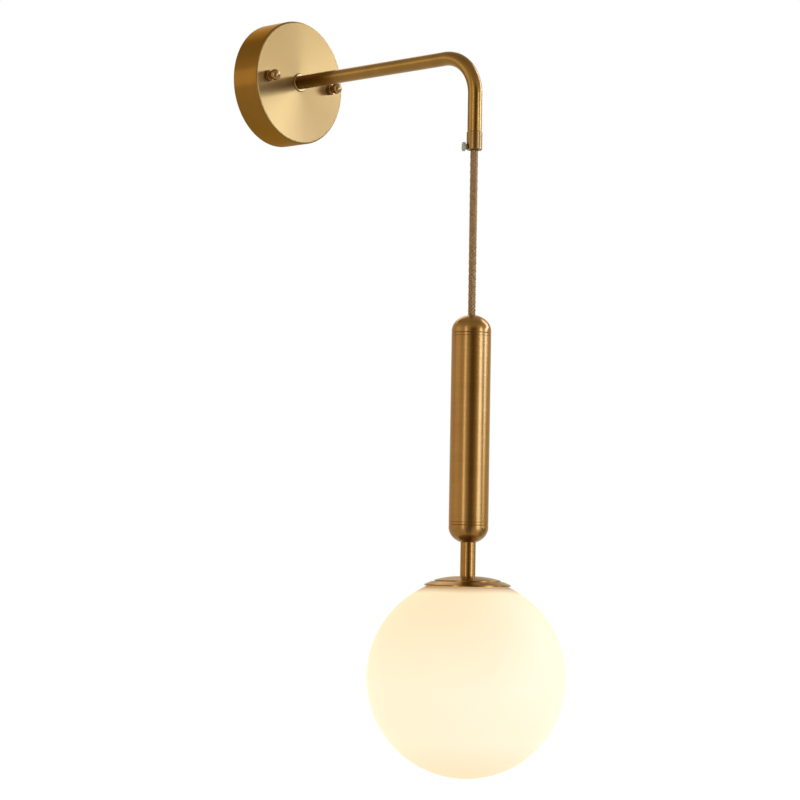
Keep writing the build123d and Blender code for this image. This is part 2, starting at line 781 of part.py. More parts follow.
# Spring clip: a ring under the plate and sprung arms that catch the edge of the glass from inside
clip_mid = plate_under - clip_thickness / 2
clip_leg = opening_radius - clip_leg_margin
with BuildPart() as globe_clip:
    with BuildSketch(pendant_section):
        with BuildLine() as clip_line:
            FilletPolyline(
                (clip_ring_diameter / 2 - clip_thickness, clip_mid),
                (clip_leg, clip_mid),
                (clip_leg, rim_inside_z + slip_gap),
                (opening_radius + clip_bulge, rim_inside_z - clip_bulge_drop),
                (opening_radius - clip_tip_margin, rim_inside_z - clip_tip_drop),
                radius=clip_thickness,
            )
        trace(clip_line.line, clip_thickness)
    extrude(amount=clip_arm_width / 2, both=True)
    clip_arm = globe_clip.part
    with BuildSketch(at_height(plate_under)):
        Circle(clip_ring_diameter / 2)
        Circle(stem_thread_radius + thread_gap, mode=Mode.SUBTRACT)
    extrude(amount=-clip_thickness)
    for turn in range(1, clip_arms):
        add(clip_arm.rotate(pendant_axis, 360 * turn / clip_arms))
globe_clip.part.label = "globe_clip"
export_step(globe_clip.part, "parts/globe_clip.step")

# Lampholder cap, screwed on the stem's lower thread
with BuildPart() as holder_cap:
    with BuildSketch(at_height(holder_cap_bottom)):
        Circle(holder_radius)
    extrude(amount=holder_cap_height)
    fillet(holder_cap.faces().sort_by(Axis.Z)[-1].edges(), holder_cap_edge)
    with BuildSketch(at_height(holder_cap_bottom)):
        Circle(holder_bore_radius)
    extrude(amount=cavity_roof - holder_cap_bottom, mode=Mode.SUBTRACT)
    with BuildSketch(at_height(clip_under)):
        Circle(stem_thread_radius + thread_gap)
    extrude(amount=-holder_roof, mode=Mode.SUBTRACT)
holder_cap.part.label = "holder_cap"
export_step(holder_cap.part, "parts/holder_cap.step")

# Lampholder skirt, with a spigot that screws into the cap
with BuildPart() as holder_skirt:
    with BuildSketch(at_height(holder_bottom)):
        Circle(holder_radius)
    extrude(amount=holder_skirt_height)
    with BuildSketch(at_height(holder_cap_bottom)):
        Circle(holder_bore_radius - thread_gap)
    extrude(amount=holder_spigot)
    with BuildSketch(at_height(holder_bottom)):
        Circle(holder_bore_radius - holder_wall)
    extrude(amount=holder_skirt_height + holder_spigot, mode=Mode.SUBTRACT)
holder_skirt.part.label = "holder_skirt"
export_step(holder_skirt.part, "parts/holder_skirt.step")

# Moulded core that carries the contacts
with BuildPart() as holder_core:
    with BuildSketch(at_height(core_bottom)):
        Circle(holder_bore_radius - thread_gap)
    extrude(amount=holder_core_thickness)
holder_core.part.label = "holder_core"
export_step(holder_core.part, "parts/holder_core.step")

# Screw shell and middle contact under the core
with BuildPart() as screw_shell:
    with BuildSketch(at_height(core_bottom)):
        Circle(screw_shell_bore / 2 + screw_shell_wall)
        Circle(screw_shell_bore / 2, mode=Mode.SUBTRACT)
    extrude(amount=bulb_neck_z + bulb_neck_clearance - core_bottom)
screw_shell.part.label = "screw_shell"
export_step(screw_shell.part, "parts/screw_shell.step")

with BuildPart() as middle_contact:
    with BuildSketch(at_height(core_bottom)):
        Circle(contact_diameter / 2)
    extrude(amount=-contact_thickness)
middle_contact.part.label = "middle_contact"
export_step(middle_contact.part, "parts/middle_contact.step")

# Bulb cap, with its insulator and tip
with BuildPart() as bulb_cap:
    with BuildSketch(at_height(bulb_neck_z)):
        Circle(bulb_cap_diameter / 2)
    extrude(amount=bulb_cap_length)
bulb_cap.part.label = "bulb_cap"
export_step(bulb_cap.part, "parts/bulb_cap.step")

with BuildPart() as bulb_insulator:
    with BuildSketch(at_height(bulb_cap_z)):
        Circle(bulb_cap_diameter / 2)
    with BuildSketch(at_height(bulb_insulator_z)):
        Circle(bulb_tip_diameter / 2)
    loft()
bulb_insulator.part.label = "bulb_insulator"
export_step(bulb_insulator.part, "parts/bulb_insulator.step")

with BuildPart() as bulb_tip:
    with BuildSketch(at_height(bulb_insulator_z)):
        Circle(bulb_tip_diameter / 2)
    extrude(amount=bulb_tip_height)
    fillet(bulb_tip.faces().sort_by(Axis.Z)[-1].edges(), bulb_tip_height / 2)
bulb_tip.part.label = "bulb_tip"
export_step(bulb_tip.part, "parts/bulb_tip.step")

# Bulb neck, which flares to the diffuser
with BuildPart() as bulb_neck:
    with BuildSketch(pendant_section):
        with BuildLine():
            Polyline(
                (0, bulb_neck_z),
                (bulb_neck_diameter / 2, bulb_neck_z),
                (bulb_neck_diameter / 2, bulb_shoulder_z),
                (bulb_shoulder_diameter / 2, bulb_joint_z),
                (0, bulb_joint_z),
                close=True,
            )
        make_face()
    revolve(axis=pendant_axis)
bulb_neck.part.label = "bulb_neck"
export_step(bulb_neck.part, "parts/bulb_neck.step")

# Bulb diffuser, a hollow ball cut off at the neck
with BuildPart() as bulb_diffuser:
    with BuildSketch(pendant_section):
        with Locations((0, bulb_z)):
            Circle(bulb_diameter / 2)
            Circle(bulb_diameter / 2 - bulb_glass, mode=Mode.SUBTRACT)
            Rectangle(bulb_diameter / 2, bulb_diameter, align=(Align.MIN, Align.CENTER), mode=Mode.INTERSECT)
        with Locations((0, bulb_joint_z)):
            Rectangle(bulb_diameter / 2, bulb_diameter, align=(Align.MIN, Align.MIN), mode=Mode.SUBTRACT)
    revolve(axis=pendant_axis)
bulb_diffuser.part.label = "bulb_diffuser"
export_step(bulb_diffuser.part, "parts/bulb_diffuser.step")

# Lamp leads, down the capsule and the stem to the lampholder
with BuildPart() as lamp_leads:
    with BuildLine():
        FilletPolyline(
            (lamp_lead_offset, -arm_reach, lamp_lead_top),
            (lamp_lead_offset, -arm_reach, lamp_lead_bend_z),
            (lamp_lead_in_stem, -arm_reach, stem_thread_top),
            (lamp_lead_in_stem, -arm_reach, core_top),
            radius=lead_bend,
        )
    with BuildSketch(Plane((lamp_lead_offset, -arm_reach, lamp_lead_top), z_dir=(0, 0, -1))):
        Circle(lead_radius)
    sweep()
    mirror(about=Plane.YZ)
lamp_leads.part.label = "lamp_leads"
export_step(lamp_leads.part, "parts/lamp_leads.step")

# Terminal block on the bracket's tab
pole_places = [(block_centre_x - pole_spacing / 2, 0), (block_centre_x + pole_spacing / 2, 0)]
with BuildPart() as terminal_block:
    with BuildSketch(from_wall(bracket_thickness)):
        with Locations((block_centre_x, block_z)):
            RectangleRounded(block_width, block_height, block_corner)
    extrude(amount=block_depth)
    with BuildSketch(Plane((0, -pole_y, block_top))):
        with Locations(*pole_places):
            Circle(barrel_diameter / 2 + thread_gap)
    extrude(amount=-block_height, mode=Mode.SUBTRACT)
    with BuildSketch(from_wall(block_face)):
        with Locations((block_centre_x, block_z)):
            with GridLocations(pole_spacing, pole_screw_spacing, 2, 2):
                Circle(pole_screw_diameter / 2 + seat_gap)
    extrude(amount=-pole_screw_recess - block_depth + pole_depth, mode=Mode.SUBTRACT)
    with BuildSketch(from_wall(block_face)):
        with Locations((block_centre_x, block_z)):
            Circle(block_screw_diameter / 2 + seat_gap)
    extrude(amount=-block_depth, mode=Mode.SUBTRACT)
    with BuildSketch(from_wall(block_face)):
        with Locations((block_centre_x, block_z)):
            Circle(block_screw_head_diameter / 2 + seat_gap)
    extrude(amount=-block_screw_head_height, mode=Mode.SUBTRACT)
terminal_block.part.label = "terminal_block"
export_step(terminal_block.part, "parts/terminal_block.step")

# Brass barrels in the block, with threaded cross holes
with BuildPart() as terminal_barrels:
    with BuildSketch(Plane((0, -pole_y, block_z - barrel_length / 2))):
        with Locations(*pole_places):
            Circle(barrel_diameter / 2)
            Circle(barrel_bore / 2, mode=Mode.SUBTRACT)
    extrude(amount=barrel_length)
    with BuildSketch(from_wall(pole_y)):
        with Locations((block_centre_x, block_z)):
            with GridLocations(pole_spacing, pole_screw_spacing, 2, 2):
                Circle(pole_screw_diameter / 2 + thread_gap)
    extrude(amount=barrel_diameter, mode=Mode.SUBTRACT)
terminal_barrels.part.label = "terminal_barrels"
export_step(terminal_barrels.part, "parts/terminal_barrels.step")

# Slotted terminal screws, down on the leads
with BuildPart() as terminal_screws:
    with BuildSketch(from_wall(pole_y + lead_radius + seat_gap)):
        with Locations((block_centre_x, block_z)):
            with GridLocations(pole_spacing, pole_screw_spacing, 2, 2):
                Circle(pole_screw_diameter / 2)
    extrude(amount=block_face - pole_screw_recess - pole_y - lead_radius - seat_gap)
    with BuildSketch(from_wall(block_face - pole_screw_recess)):
        with Locations((block_centre_x, block_z)):
            with GridLocations(pole_spacing, pole_screw_spacing, 2, 2):
                Rectangle(pole_screw_diameter, grip_slot_width)
    extrude(amount=-grip_slot_depth, mode=Mode.SUBTRACT)
terminal_screws.part.label = "terminal_screws"
export_step(terminal_screws.part, "parts/terminal_screws.step")

# Screw that holds the block to the tab
with BuildPart() as block_screw:
    with BuildSketch(from_wall(block_face - block_screw_head_height)):
        with Locations((block_centre_x, block_z)):
            Circle(block_screw_head_diameter / 2)
    extrude(amount=block_screw_head_height)
    with BuildSketch(from_wall(block_face)):
        with Locations((block_centre_x, block_z)):
            Rectangle(block_screw_head_diameter, grip_slot_width)
    extrude(amount=-grip_slot_depth, mode=Mode.SUBTRACT)
    with BuildSketch(from_wall(seat_gap)):
        with Locations((block_centre_x, block_z)):
            Circle(block_screw_diameter / 2)
    extrude(amount=block_face - block_screw_head_height - seat_gap)
block_screw.part.label = "block_screw"
export_step(block_screw.part, "parts/block_screw.step")

# Earth screw on the tab, over the eyelet of the earth lead
earth_head_seat = bracket_thickness + eyelet_thickness
with BuildPart() as earth_screw:
    with BuildSketch(from_wall(earth_head_seat)):
        with Locations((earth_x, block_z)):
            Circle(earth_head_diameter / 2)
    extrude(amount=earth_head_height)
    fillet(earth_screw.faces().sort_by(Axis.Y)[0].edges(), earth_head_height / 2)
    with BuildSketch(from_wall(seat_gap)):
        with Locations((earth_x, block_z)):
            Circle(earth_screw_diameter / 2)
    extrude(amount=earth_head_seat - seat_gap)
earth_screw.part.label = "earth_screw"
export_step(earth_screw.part, "parts/earth_screw.step")

# Crimped eyelet under the earth screw
eyelet_barrel_y = bracket_thickness + eyelet_barrel_diameter / 2
eyelet_barrel_bottom = block_z + earth_head_diameter / 2 + seat_gap
with BuildPart() as earth_eyelet:
    with BuildSketch(from_wall(bracket_thickness)):
        with Locations((earth_x, block_z)):
            Circle(eyelet_diameter / 2)
            Rectangle(
                eyelet_barrel_diameter,
                eyelet_barrel_bottom - block_z + eyelet_barrel_length / 2,
                align=(Align.CENTER, Align.MIN),
            )
            Circle(earth_screw_diameter / 2 + thread_gap, mode=Mode.SUBTRACT)
    extrude(amount=eyelet_thickness)
    with BuildSketch(Plane((earth_x, -eyelet_barrel_y, eyelet_barrel_bottom))):
        Circle(eyelet_barrel_diameter / 2)
    extrude(amount=eyelet_barrel_length)
    with BuildSketch(Plane((earth_x, -eyelet_barrel_y, eyelet_barrel_bottom))):
        Circle(lead_radius + thread_gap)
    extrude(amount=eyelet_barrel_length, mode=Mode.SUBTRACT)
earth_eyelet.part.label = "earth_eyelet"
export_step(earth_eyelet.part, "parts/earth_eyelet.step")

# Leads from the end of the arm's cable to the two poles and the eyelet
lead_start = -cable_end + seat_gap
lead_turn = -(cable_end + pole_y) / 2
lead_down = -bracket_width / 2 - lead_bend
lead_side = lead_spread * sqrt(3) / 2
lead_end = block_top - lead_insertion
neutral_lead = wire(
    [
        (-lead_side, lead_start, lead_spread / 2),
        (-lead_side, lead_turn, lead_spread / 2),
        (pole_places[0][0], -pole_y, lead_down),
        (pole_places[0][0], -pole_y, lead_end),
    ],
    lead_bend,
)
neutral_lead.part.label = "neutral_lead"
export_step(neutral_lead.part, "parts/neutral_lead.step")

live_lead = wire(
    [
        (0, lead_start, -lead_spread),
        (0, lead_turn, -lead_spread),
        (pole_places[1][0], -pole_y, lead_down),
        (pole_places[1][0], -pole_y, lead_end),
    ],
    lead_bend,
)
live_lead.part.label = "live_lead"
export_step(live_lead.part, "parts/live_lead.step")

earth_lead = wire(
    [
        (lead_side, lead_start, lead_spread / 2),
        (lead_side, lead_turn, lead_spread / 2),
        (earth_x, -eyelet_barrel_y, lead_down),
        (earth_x, -eyelet_barrel_y, eyelet_barrel_bottom + seat_gap),
    ],
    lead_bend,
)
earth_lead.part.label = "earth_lead"
export_step(earth_lead.part, "parts/earth_lead.step")
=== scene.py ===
import logging
import math
from abc import ABC, abstractmethod
from collections.abc import Iterable, Mapping
from dataclasses import dataclass, replace
from enum import Enum
from typing import Any

import bmesh
import bpy
from mathutils import Matrix, Quaternion, Vector


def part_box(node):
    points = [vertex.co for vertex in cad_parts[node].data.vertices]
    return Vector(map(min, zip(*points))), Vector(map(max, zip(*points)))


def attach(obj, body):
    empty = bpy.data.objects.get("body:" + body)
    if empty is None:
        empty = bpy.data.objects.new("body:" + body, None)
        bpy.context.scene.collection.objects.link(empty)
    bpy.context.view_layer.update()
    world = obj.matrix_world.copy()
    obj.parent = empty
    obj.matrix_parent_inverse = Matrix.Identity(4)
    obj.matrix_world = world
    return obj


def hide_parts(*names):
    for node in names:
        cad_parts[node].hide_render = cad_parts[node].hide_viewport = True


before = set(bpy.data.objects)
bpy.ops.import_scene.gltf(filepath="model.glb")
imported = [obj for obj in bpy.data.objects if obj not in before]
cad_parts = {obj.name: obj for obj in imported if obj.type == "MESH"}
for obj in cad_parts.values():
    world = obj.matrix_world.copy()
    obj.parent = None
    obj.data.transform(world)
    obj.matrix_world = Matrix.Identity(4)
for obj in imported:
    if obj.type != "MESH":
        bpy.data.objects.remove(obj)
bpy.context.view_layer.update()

LOG = logging.getLogger("wall_sconce")

Colour = tuple[float, float, float, float]
Place = tuple[float, float, float]
Range = tuple[float, float]
Tree = bpy.types.NodeTree
Socket = bpy.types.NodeSocket

MM = 0.001
WHITE = "#FFFFFF"

# Tone of the pale room that the metal mirrors.
SURROUND = "#EBDCC2"

# Place of the cord and the pendant, in millimetres from the wall. The room lies towards -Y.
PENDANT_Y = -213.0

# A Mix node repeats its sockets for each kind of value. These are the numbers of its colour sockets.
COLOUR_A = 6
COLOUR_B = 7
COLOUR_RESULT = 2

# Cosines of the angles from a dark side's middle at which it starts and at which it is fully dark.
DARK_EDGE: Range = (0.88, 0.99)


def linear(code: str) -> Colour:
    """Turns an sRGB hex colour into the linear colour that shaders take.

    Args:
        code: Six hex digits after a hash sign.

    Returns:
        Linear red, green and blue, with an alpha of one.
    """
    parts = [int(code[start:start + 2], 16) / 255 for start in (1, 3, 5)]
    # The numbers are those of the sRGB standard's curve.
    red, green, blue = (
        part / 12.92 if part <= 0.04045 else ((part + 0.055) / 1.055) ** 2.4 for part in parts
    )
    return red, green, blue, 1.0


def add_node(
    tree: Tree, kind: str, inputs: Mapping[Any, Any] | None = None, **settings: Any
) -> bpy.types.Node:
    """Adds one node with its settings, values and links.

    Args:
        tree: Node tree that receives the node.
        kind: Blender's name for the node's type.
        inputs: Values, or output sockets to link, by input name or number.
        **settings: Attributes set on the node.

    Returns:
        The new node.
    """
    node = tree.nodes.new(kind)
    for key, value in settings.items():
        setattr(node, key, value)
    for key, value in (inputs or {}).items():
        if isinstance(value, bpy.types.NodeSocket):
            tree.links.new(value, node.inputs[key])
        else:
            node.inputs[key].default_value = value
    return node


def darkness(tree: Tree, way: Socket, dark_way: Place) -> Socket:
    """Finds how far a direction points to a dark side of the room.

    Args:
        tree: Node tree that receives the nodes.
        way: The direction, whose height is left out.
        dark_way: The level direction of the dark side's middle.

    Returns:
        A factor from zero, pale, to one, dark.
    """
    level_way = add_node(tree, "ShaderNodeVectorMath", {0: way, 1: (1.0, 1.0, 0.0)}, operation="MULTIPLY")
    flat_way = add_node(tree, "ShaderNodeVectorMath", {0: level_way.outputs[0]}, operation="NORMALIZE")
    facing = add_node(
        tree, "ShaderNodeVectorMath", {0: flat_way.outputs[0], 1: dark_way}, operation="DOT_PRODUCT"
    )
    start, full = DARK_EDGE
    shade = add_node(
        tree,
        "ShaderNodeMapRange",
        {"Value": facing.outputs["Value"], "From Min": start, "From Max": full},
        interpolation_type="SMOOTHSTEP",
    )
    return shade.outputs[0]


def blend(
    tree: Tree, value: Socket, limits: Range, first: Colour | Socket, second: Colour | Socket
) -> Socket:
    """Blends one colour into another while a value rises from a low to a high limit.

    Args:
        tree: Node tree that receives the nodes.
        value: The value that picks the colour.
        limits: The low and the high limit.
        first: Colour below the limits.
        second: Colour above them.

    Returns:
        The blended colour.
    """
    low, high = limits
    share = add_node(tree, "ShaderNodeMapRange", {"Value": value, "From Min": low, "From Max": high})
    colour = add_node(
        tree,
        "ShaderNodeMix",
        {"Factor": share.outputs[0], COLOUR_A: first, COLOUR_B: second},
        data_type="RGBA",
    )
    return colour.outputs[COLOUR_RESULT]


def mesh_from_curve(curve: bpy.types.Curve) -> bpy.types.Mesh:
    """Turns a curve into a mesh and removes the curve.

    Args:
        curve: The curve, which no object uses.

    Returns:
        The curve's mesh.
    """
    holder = bpy.data.objects.new(curve.name, curve)
    mesh = bpy.data.meshes.new_from_object(holder)
    bpy.data.objects.remove(holder)
    bpy.data.curves.remove(curve)
    return mesh


def dress_nodes(names: Iterable[str], material: bpy.types.Material) -> None:
    """Gives one material to several CAD nodes.

    Args:
        names: The nodes' names.
        material: The material for all of their slots.
    """
    for name in names:
        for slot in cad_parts[name].material_slots:
            slot.material = material
        LOG.info("%s: %s", name, material.name)


class LatheAxis(Enum):
    """The axis that a turned or spun piece was brushed around."""

    ROOM = "Y"
    UPRIGHT = "Z"

    def way(self) -> Place:
        """Returns the axis's direction."""
        return (0.0, 1.0, 0.0) if self is LatheAxis.ROOM else (0.0, 0.0, 1.0)


@dataclass(frozen=True)
class Relief:
    """The fine relief of a surface, which varies its roughness and tilts the light on it.

    Heights between the limits take the roughness from smoother_by under its value to rougher_by over it.
    """

    limits: Range
    smoother_by: float
    rougher_by: float
    depth_mm: float
    strength: float

    def inputs(self, tree: Tree, height: Socket, roughness: float) -> dict[str, Socket]:
        """Draws the relief.

        Args:
            tree: The material's node tree.
            height: The relief's height, from zero to one.
            roughness: The surface's roughness.

        Returns:
            The shader's roughness and normal, by the names of its inputs.
        """
        low, high = self.limits
        rough = add_node(tree, "ShaderNodeMapRange", {
            "Value": height,
            "From Min": low,
            "From Max": high,
            "To Min": roughness - self.smoother_by,
            "To Max": roughness + self.rougher_by,
        })
        bump = add_node(tree, "ShaderNodeBump", {
            "Height": height, "Strength": self.strength, "Distance": self.depth_mm * MM,
        })
        return {"Roughness": rough.outputs[0], "Normal": bump.outputs[0]}


@dataclass(frozen=True)
class Finish(ABC):
    """A surface that becomes one material, named for what it is and how it was made."""

    name: str

    @abstractmethod
    def surface(self, tree: Tree) -> Socket:
        """Adds the nodes that draw the surface.

        Args:
            tree: The material's node tree.

        Returns:
            The shader of the whole surface.
        """

    def material(self) -> bpy.types.Material:
        """Builds the material.

        Returns:
            The new material, with the finish's name.
        """
        material = bpy.data.materials.new(self.name)
        material.use_nodes = True
        tree = material.node_tree
        tree.nodes.clear()
        add_node(tree, "ShaderNodeOutputMaterial", {"Surface": self.surface(tree)})
        return material


@dataclass(frozen=True)
class BrushedBrass(Finish):
    """Satin brass, brushed on a lathe and lacquered: rings of fine scratches stretch each reflection.

    Real scratches are about 0.05 mm apart. They are drawn coarser here, at grain_mm, so that they show.
    Faces square to the lathe's axis take a painted tone that stands for the light and shade falling on
    them, and a groove_turn of a quarter lays the stretched reflections across the rings. The centre is a
    point on the axis, in millimetres.
    """

    axis: LatheAxis
    centre: Place
    tone: str = "#946821"
    pale_tone: str = "#9D732D"
    # Painted light and shade on the faces square to the axis: paler where they catch bright light, darker
    # where they lie in shade.
    painted_face_shading: str = "#B3956A"
    edge_tone: str = WHITE
    roughness: float = 0.28
    scratches: Relief = Relief(
        limits=(0.25, 0.75), smoother_by=0.008, rougher_by=0.008, depth_mm=0.01, strength=0.05
    )
    anisotropy: float = 0.75
    groove_turn: float = 0.25
    coat: float = 0.45
    coat_roughness: float = 0.2
    lacquer_ior: float = 1.5
    grain_mm: float = 0.6
    grain_wander: float = 0.6
    cloud_mm: float = 28.0
    mottle_range: Range = (0.12, 0.4)
    flat_range: Range = (0.6, 0.97)

    def ring_grain(self, tree: Tree, place: Socket) -> Socket:
        """Draws scratches that run in rings about the lathe's axis.

        Args:
            tree: The material's node tree.
            place: The point on the surface.

        Returns:
            The scratches' height, from zero to one.
        """
        along = self.axis.way()
        across = tuple(1.0 - part for part in along)
        centre = tuple(part * MM for part in self.centre)
        local = add_node(tree, "ShaderNodeVectorMath", {0: place, 1: centre}, operation="SUBTRACT")
        spoke = add_node(
            tree, "ShaderNodeVectorMath", {0: local.outputs[0], 1: across}, operation="MULTIPLY"
        )
        radius = add_node(tree, "ShaderNodeVectorMath", {0: spoke.outputs[0]}, operation="LENGTH")
        height = add_node(
            tree, "ShaderNodeVectorMath", {0: local.outputs[0], 1: along}, operation="DOT_PRODUCT"
        )
        ring = add_node(tree, "ShaderNodeMath", {0: radius.outputs["Value"], 1: height.outputs["Value"]})
        ring_way = add_node(tree, "ShaderNodeCombineXYZ", {self.axis.value: ring.outputs[0]})
        fine_way = add_node(
            tree,
            "ShaderNodeVectorMath",
            {0: ring_way.outputs[0], "Scale": 1 / (self.grain_mm * MM)},
            operation="SCALE",
        )
        turn = add_node(tree, "ShaderNodeVectorMath", {0: spoke.outputs[0]}, operation="NORMALIZE")
        grain_way = add_node(
            tree,
            "ShaderNodeVectorMath",
            {0: turn.outputs[0], 1: (self.grain_wander,) * 3, 2: fine_way.outputs[0]},
            operation="MULTIPLY_ADD",
        )
        grain = add_node(
            tree, "ShaderNodeTexNoise", {"Vector": grain_way.outputs[0], "Scale": 1.0, "Detail": 3.0}
        )
        return grain.outputs["Fac"]

    def colour(self, tree: Tree, coordinates: bpy.types.Node, grain: Socket) -> Socket:
        """Mottles the brass and gives the faces square to the axis a painted tone for the light and shade on
        them.

        Args:
            tree: The material's node tree.
            coordinates: The texture coordinates' node.
            grain: The scratches' height.

        Returns:
            The brass's colour, with painted light and shade on its faces square to the axis.
        """
        place = coordinates.outputs["Object"]
        cloud = add_node(
            tree, "ShaderNodeTexNoise", {"Vector": place, "Scale": 1 / (self.cloud_mm * MM), "Detail": 2.0}
        )
        mottle = add_node(tree, "ShaderNodeMath", {0: grain, 1: cloud.outputs["Fac"]}, operation="MULTIPLY")
        tint = blend(tree, mottle.outputs[0], self.mottle_range, linear(self.tone), linear(self.pale_tone))
        # The faces square to the axis blend into a painted tone that stands for the light and shade on them.
        square = add_node(
            tree,
            "ShaderNodeVectorMath",
            {0: coordinates.outputs["Normal"], 1: self.axis.way()},
            operation="DOT_PRODUCT",
        )
        facing = add_node(tree, "ShaderNodeMath", {0: square.outputs["Value"]}, operation="ABSOLUTE")
        return blend(tree, facing.outputs[0], self.flat_range, tint, linear(self.painted_face_shading))

    def surface(self, tree: Tree) -> Socket:
        """Draws the scratched metal under its lacquer.

        Args:
            tree: The material's node tree.

        Returns:
            The brass's shader.
        """
        coordinates = add_node(tree, "ShaderNodeTexCoord")
        grain = self.ring_grain(tree, coordinates.outputs["Object"])
        groove = add_node(tree, "ShaderNodeTangent", direction_type="RADIAL", axis=self.axis.value)
        brass = add_node(tree, "ShaderNodeBsdfPrincipled", {
            "Base Color": self.colour(tree, coordinates, grain),
            "Metallic": 1.0,
            **self.scratches.inputs(tree, grain, self.roughness),
            "Tangent": groove.outputs[0],
            "Specular Tint": linear(self.edge_tone),
            "Anisotropic": self.anisotropy,
            "Anisotropic Rotation": self.groove_turn,
            "Coat Weight": self.coat,
            "Coat Roughness": self.coat_roughness,
            "Coat IOR": self.lacquer_ior,
        })
        return brass.outputs[0]


@dataclass(frozen=True)
class PolishedBrass(Finish):
    """Brass rubbed smooth, with no lathe marks: a fine even haze and slow stains in the lacquer.

    Real rubbing marks are far finer than haze_mm. They are drawn coarser here, so that they show.
    """

    tone: str = "#94692B"
    stain: str = "#855B22"
    roughness: float = 0.24
    scratches: Relief = Relief(
        limits=(0.3, 0.7), smoother_by=0.006, rougher_by=0.006, depth_mm=0.01, strength=0.05
    )
    coat: float = 0.15
    coat_roughness: float = 0.12
    lacquer_ior: float = 1.5
    haze_mm: float = 0.8
    stain_mm: float = 14.0
    stain_range: Range = (0.35, 0.65)

    def surface(self, tree: Tree) -> Socket:
        """Draws the hazy metal under its stained lacquer.

        Args:
            tree: The material's node tree.

        Returns:
            The brass's shader.
        """
        place = add_node(tree, "ShaderNodeTexCoord").outputs["Object"]
        haze = add_node(
            tree, "ShaderNodeTexNoise", {"Vector": place, "Scale": 1 / (self.haze_mm * MM), "Detail": 1.0}
        )
        stain = add_node(
            tree, "ShaderNodeTexNoise", {"Vector": place, "Scale": 1 / (self.stain_mm * MM), "Detail": 4.0}
        )
        tint = blend(tree, stain.outputs["Fac"], self.stain_range, linear(self.stain), linear(self.tone))
        brass = add_node(tree, "ShaderNodeBsdfPrincipled", {
            "Base Color": tint,
            "Metallic": 1.0,
            **self.scratches.inputs(tree, haze.outputs["Fac"], self.roughness),
            "Coat Weight": self.coat,
            "Coat Roughness": self.coat_roughness,
            "Coat IOR": self.lacquer_ior,
        })
        return brass.outputs[0]


@dataclass(frozen=True)
class PlatedMetal(Finish):
    """Plated or bare rolled steel: pale grey, with a crystal bloom and rubbed spots that break its shine.

    Real crystals are far finer than bloom_mm. They are drawn coarser here, so that they show.
    """

    tone: str
    dull_tone: str
    roughness: float
    scratches: Relief = Relief(
        limits=(0.3, 0.7), smoother_by=0.05, rougher_by=0.07, depth_mm=0.01, strength=0.1
    )
    bloom_mm: float = 2.2
    rubs_per_crystal: float = 3.0

    def surface(self, tree: Tree) -> Socket:
        """Draws the plating with its crystal bloom.

        Args:
            tree: The material's node tree.

        Returns:
            The metal's shader.
        """
        place = add_node(tree, "ShaderNodeTexCoord").outputs["Object"]
        bloom = add_node(
            tree, "ShaderNodeTexVoronoi", {"Vector": place, "Scale": 1 / (self.bloom_mm * MM)}
        )
        rub = add_node(tree, "ShaderNodeTexNoise", {
            "Vector": place, "Scale": self.rubs_per_crystal / (self.bloom_mm * MM), "Detail": 3.0,
        })
        mottle = add_node(
            tree,
            "ShaderNodeMath",
            {0: bloom.outputs["Distance"], 1: rub.outputs["Fac"]},
            operation="MULTIPLY",
        )
        tint = add_node(
            tree,
            "ShaderNodeMix",
            {"Factor": mottle.outputs[0], COLOUR_A: linear(self.tone), COLOUR_B: linear(self.dull_tone)},
            data_type="RGBA",
        )
        metal = add_node(tree, "ShaderNodeBsdfPrincipled", {
            "Base Color": tint.outputs[COLOUR_RESULT],
            "Metallic": 1.0,
            **self.scratches.inputs(tree, rub.outputs["Fac"], self.roughness),
        })
        return metal.outputs[0]


@dataclass(frozen=True)
class BraidedYarn(Finish):
    """Rayon yarn braided over a cable: silky fibres, with darker and paler lengths of yarn.

    Real fibres are far finer than fibre_mm. They are drawn coarser here, so that they show.
    """

    tone: str
    pale_tone: str
    roughness: float = 0.42
    gloss: float = 0.55
    sheen: float = 0.9
    sheen_roughness: float = 0.4
    sheen_tone: str = "#EED9B4"
    fibre_mm: float = 0.25
    fibre_depth_mm: float = 0.05
    fibre_strength: float = 0.5
    dye_mm: float = 1.6
    dye_range: Range = (0.12, 0.4)

    def surface(self, tree: Tree) -> Socket:
        """Draws the yarn with fibres, dye variation and a silky sheen.

        Args:
            tree: The material's node tree.

        Returns:
            The yarn's shader.
        """
        place = add_node(tree, "ShaderNodeTexCoord").outputs["Object"]
        fibre = add_node(
            tree, "ShaderNodeTexNoise", {"Vector": place, "Scale": 1 / (self.fibre_mm * MM), "Detail": 2.0}
        )
        dye = add_node(
            tree, "ShaderNodeTexNoise", {"Vector": place, "Scale": 1 / (self.dye_mm * MM), "Detail": 2.0}
        )
        mixed = add_node(
            tree, "ShaderNodeMath", {0: dye.outputs["Fac"], 1: fibre.outputs["Fac"]}, operation="MULTIPLY"
        )
        tint = blend(tree, mixed.outputs[0], self.dye_range, linear(self.tone), linear(self.pale_tone))
        bump = add_node(tree, "ShaderNodeBump", {
            "Height": fibre.outputs["Fac"],
            "Strength": self.fibre_strength,
            "Distance": self.fibre_depth_mm * MM,
        })
        yarn = add_node(tree, "ShaderNodeBsdfPrincipled", {
            "Base Color": tint,
            "Roughness": self.roughness,
            "Normal": bump.outputs[0],
            "Specular IOR Level": self.gloss,
            "Sheen Weight": self.sheen,
            "Sheen Roughness": self.sheen_roughness,
            "Sheen Tint": linear(self.sheen_tone),
        })
        return yarn.outputs[0]


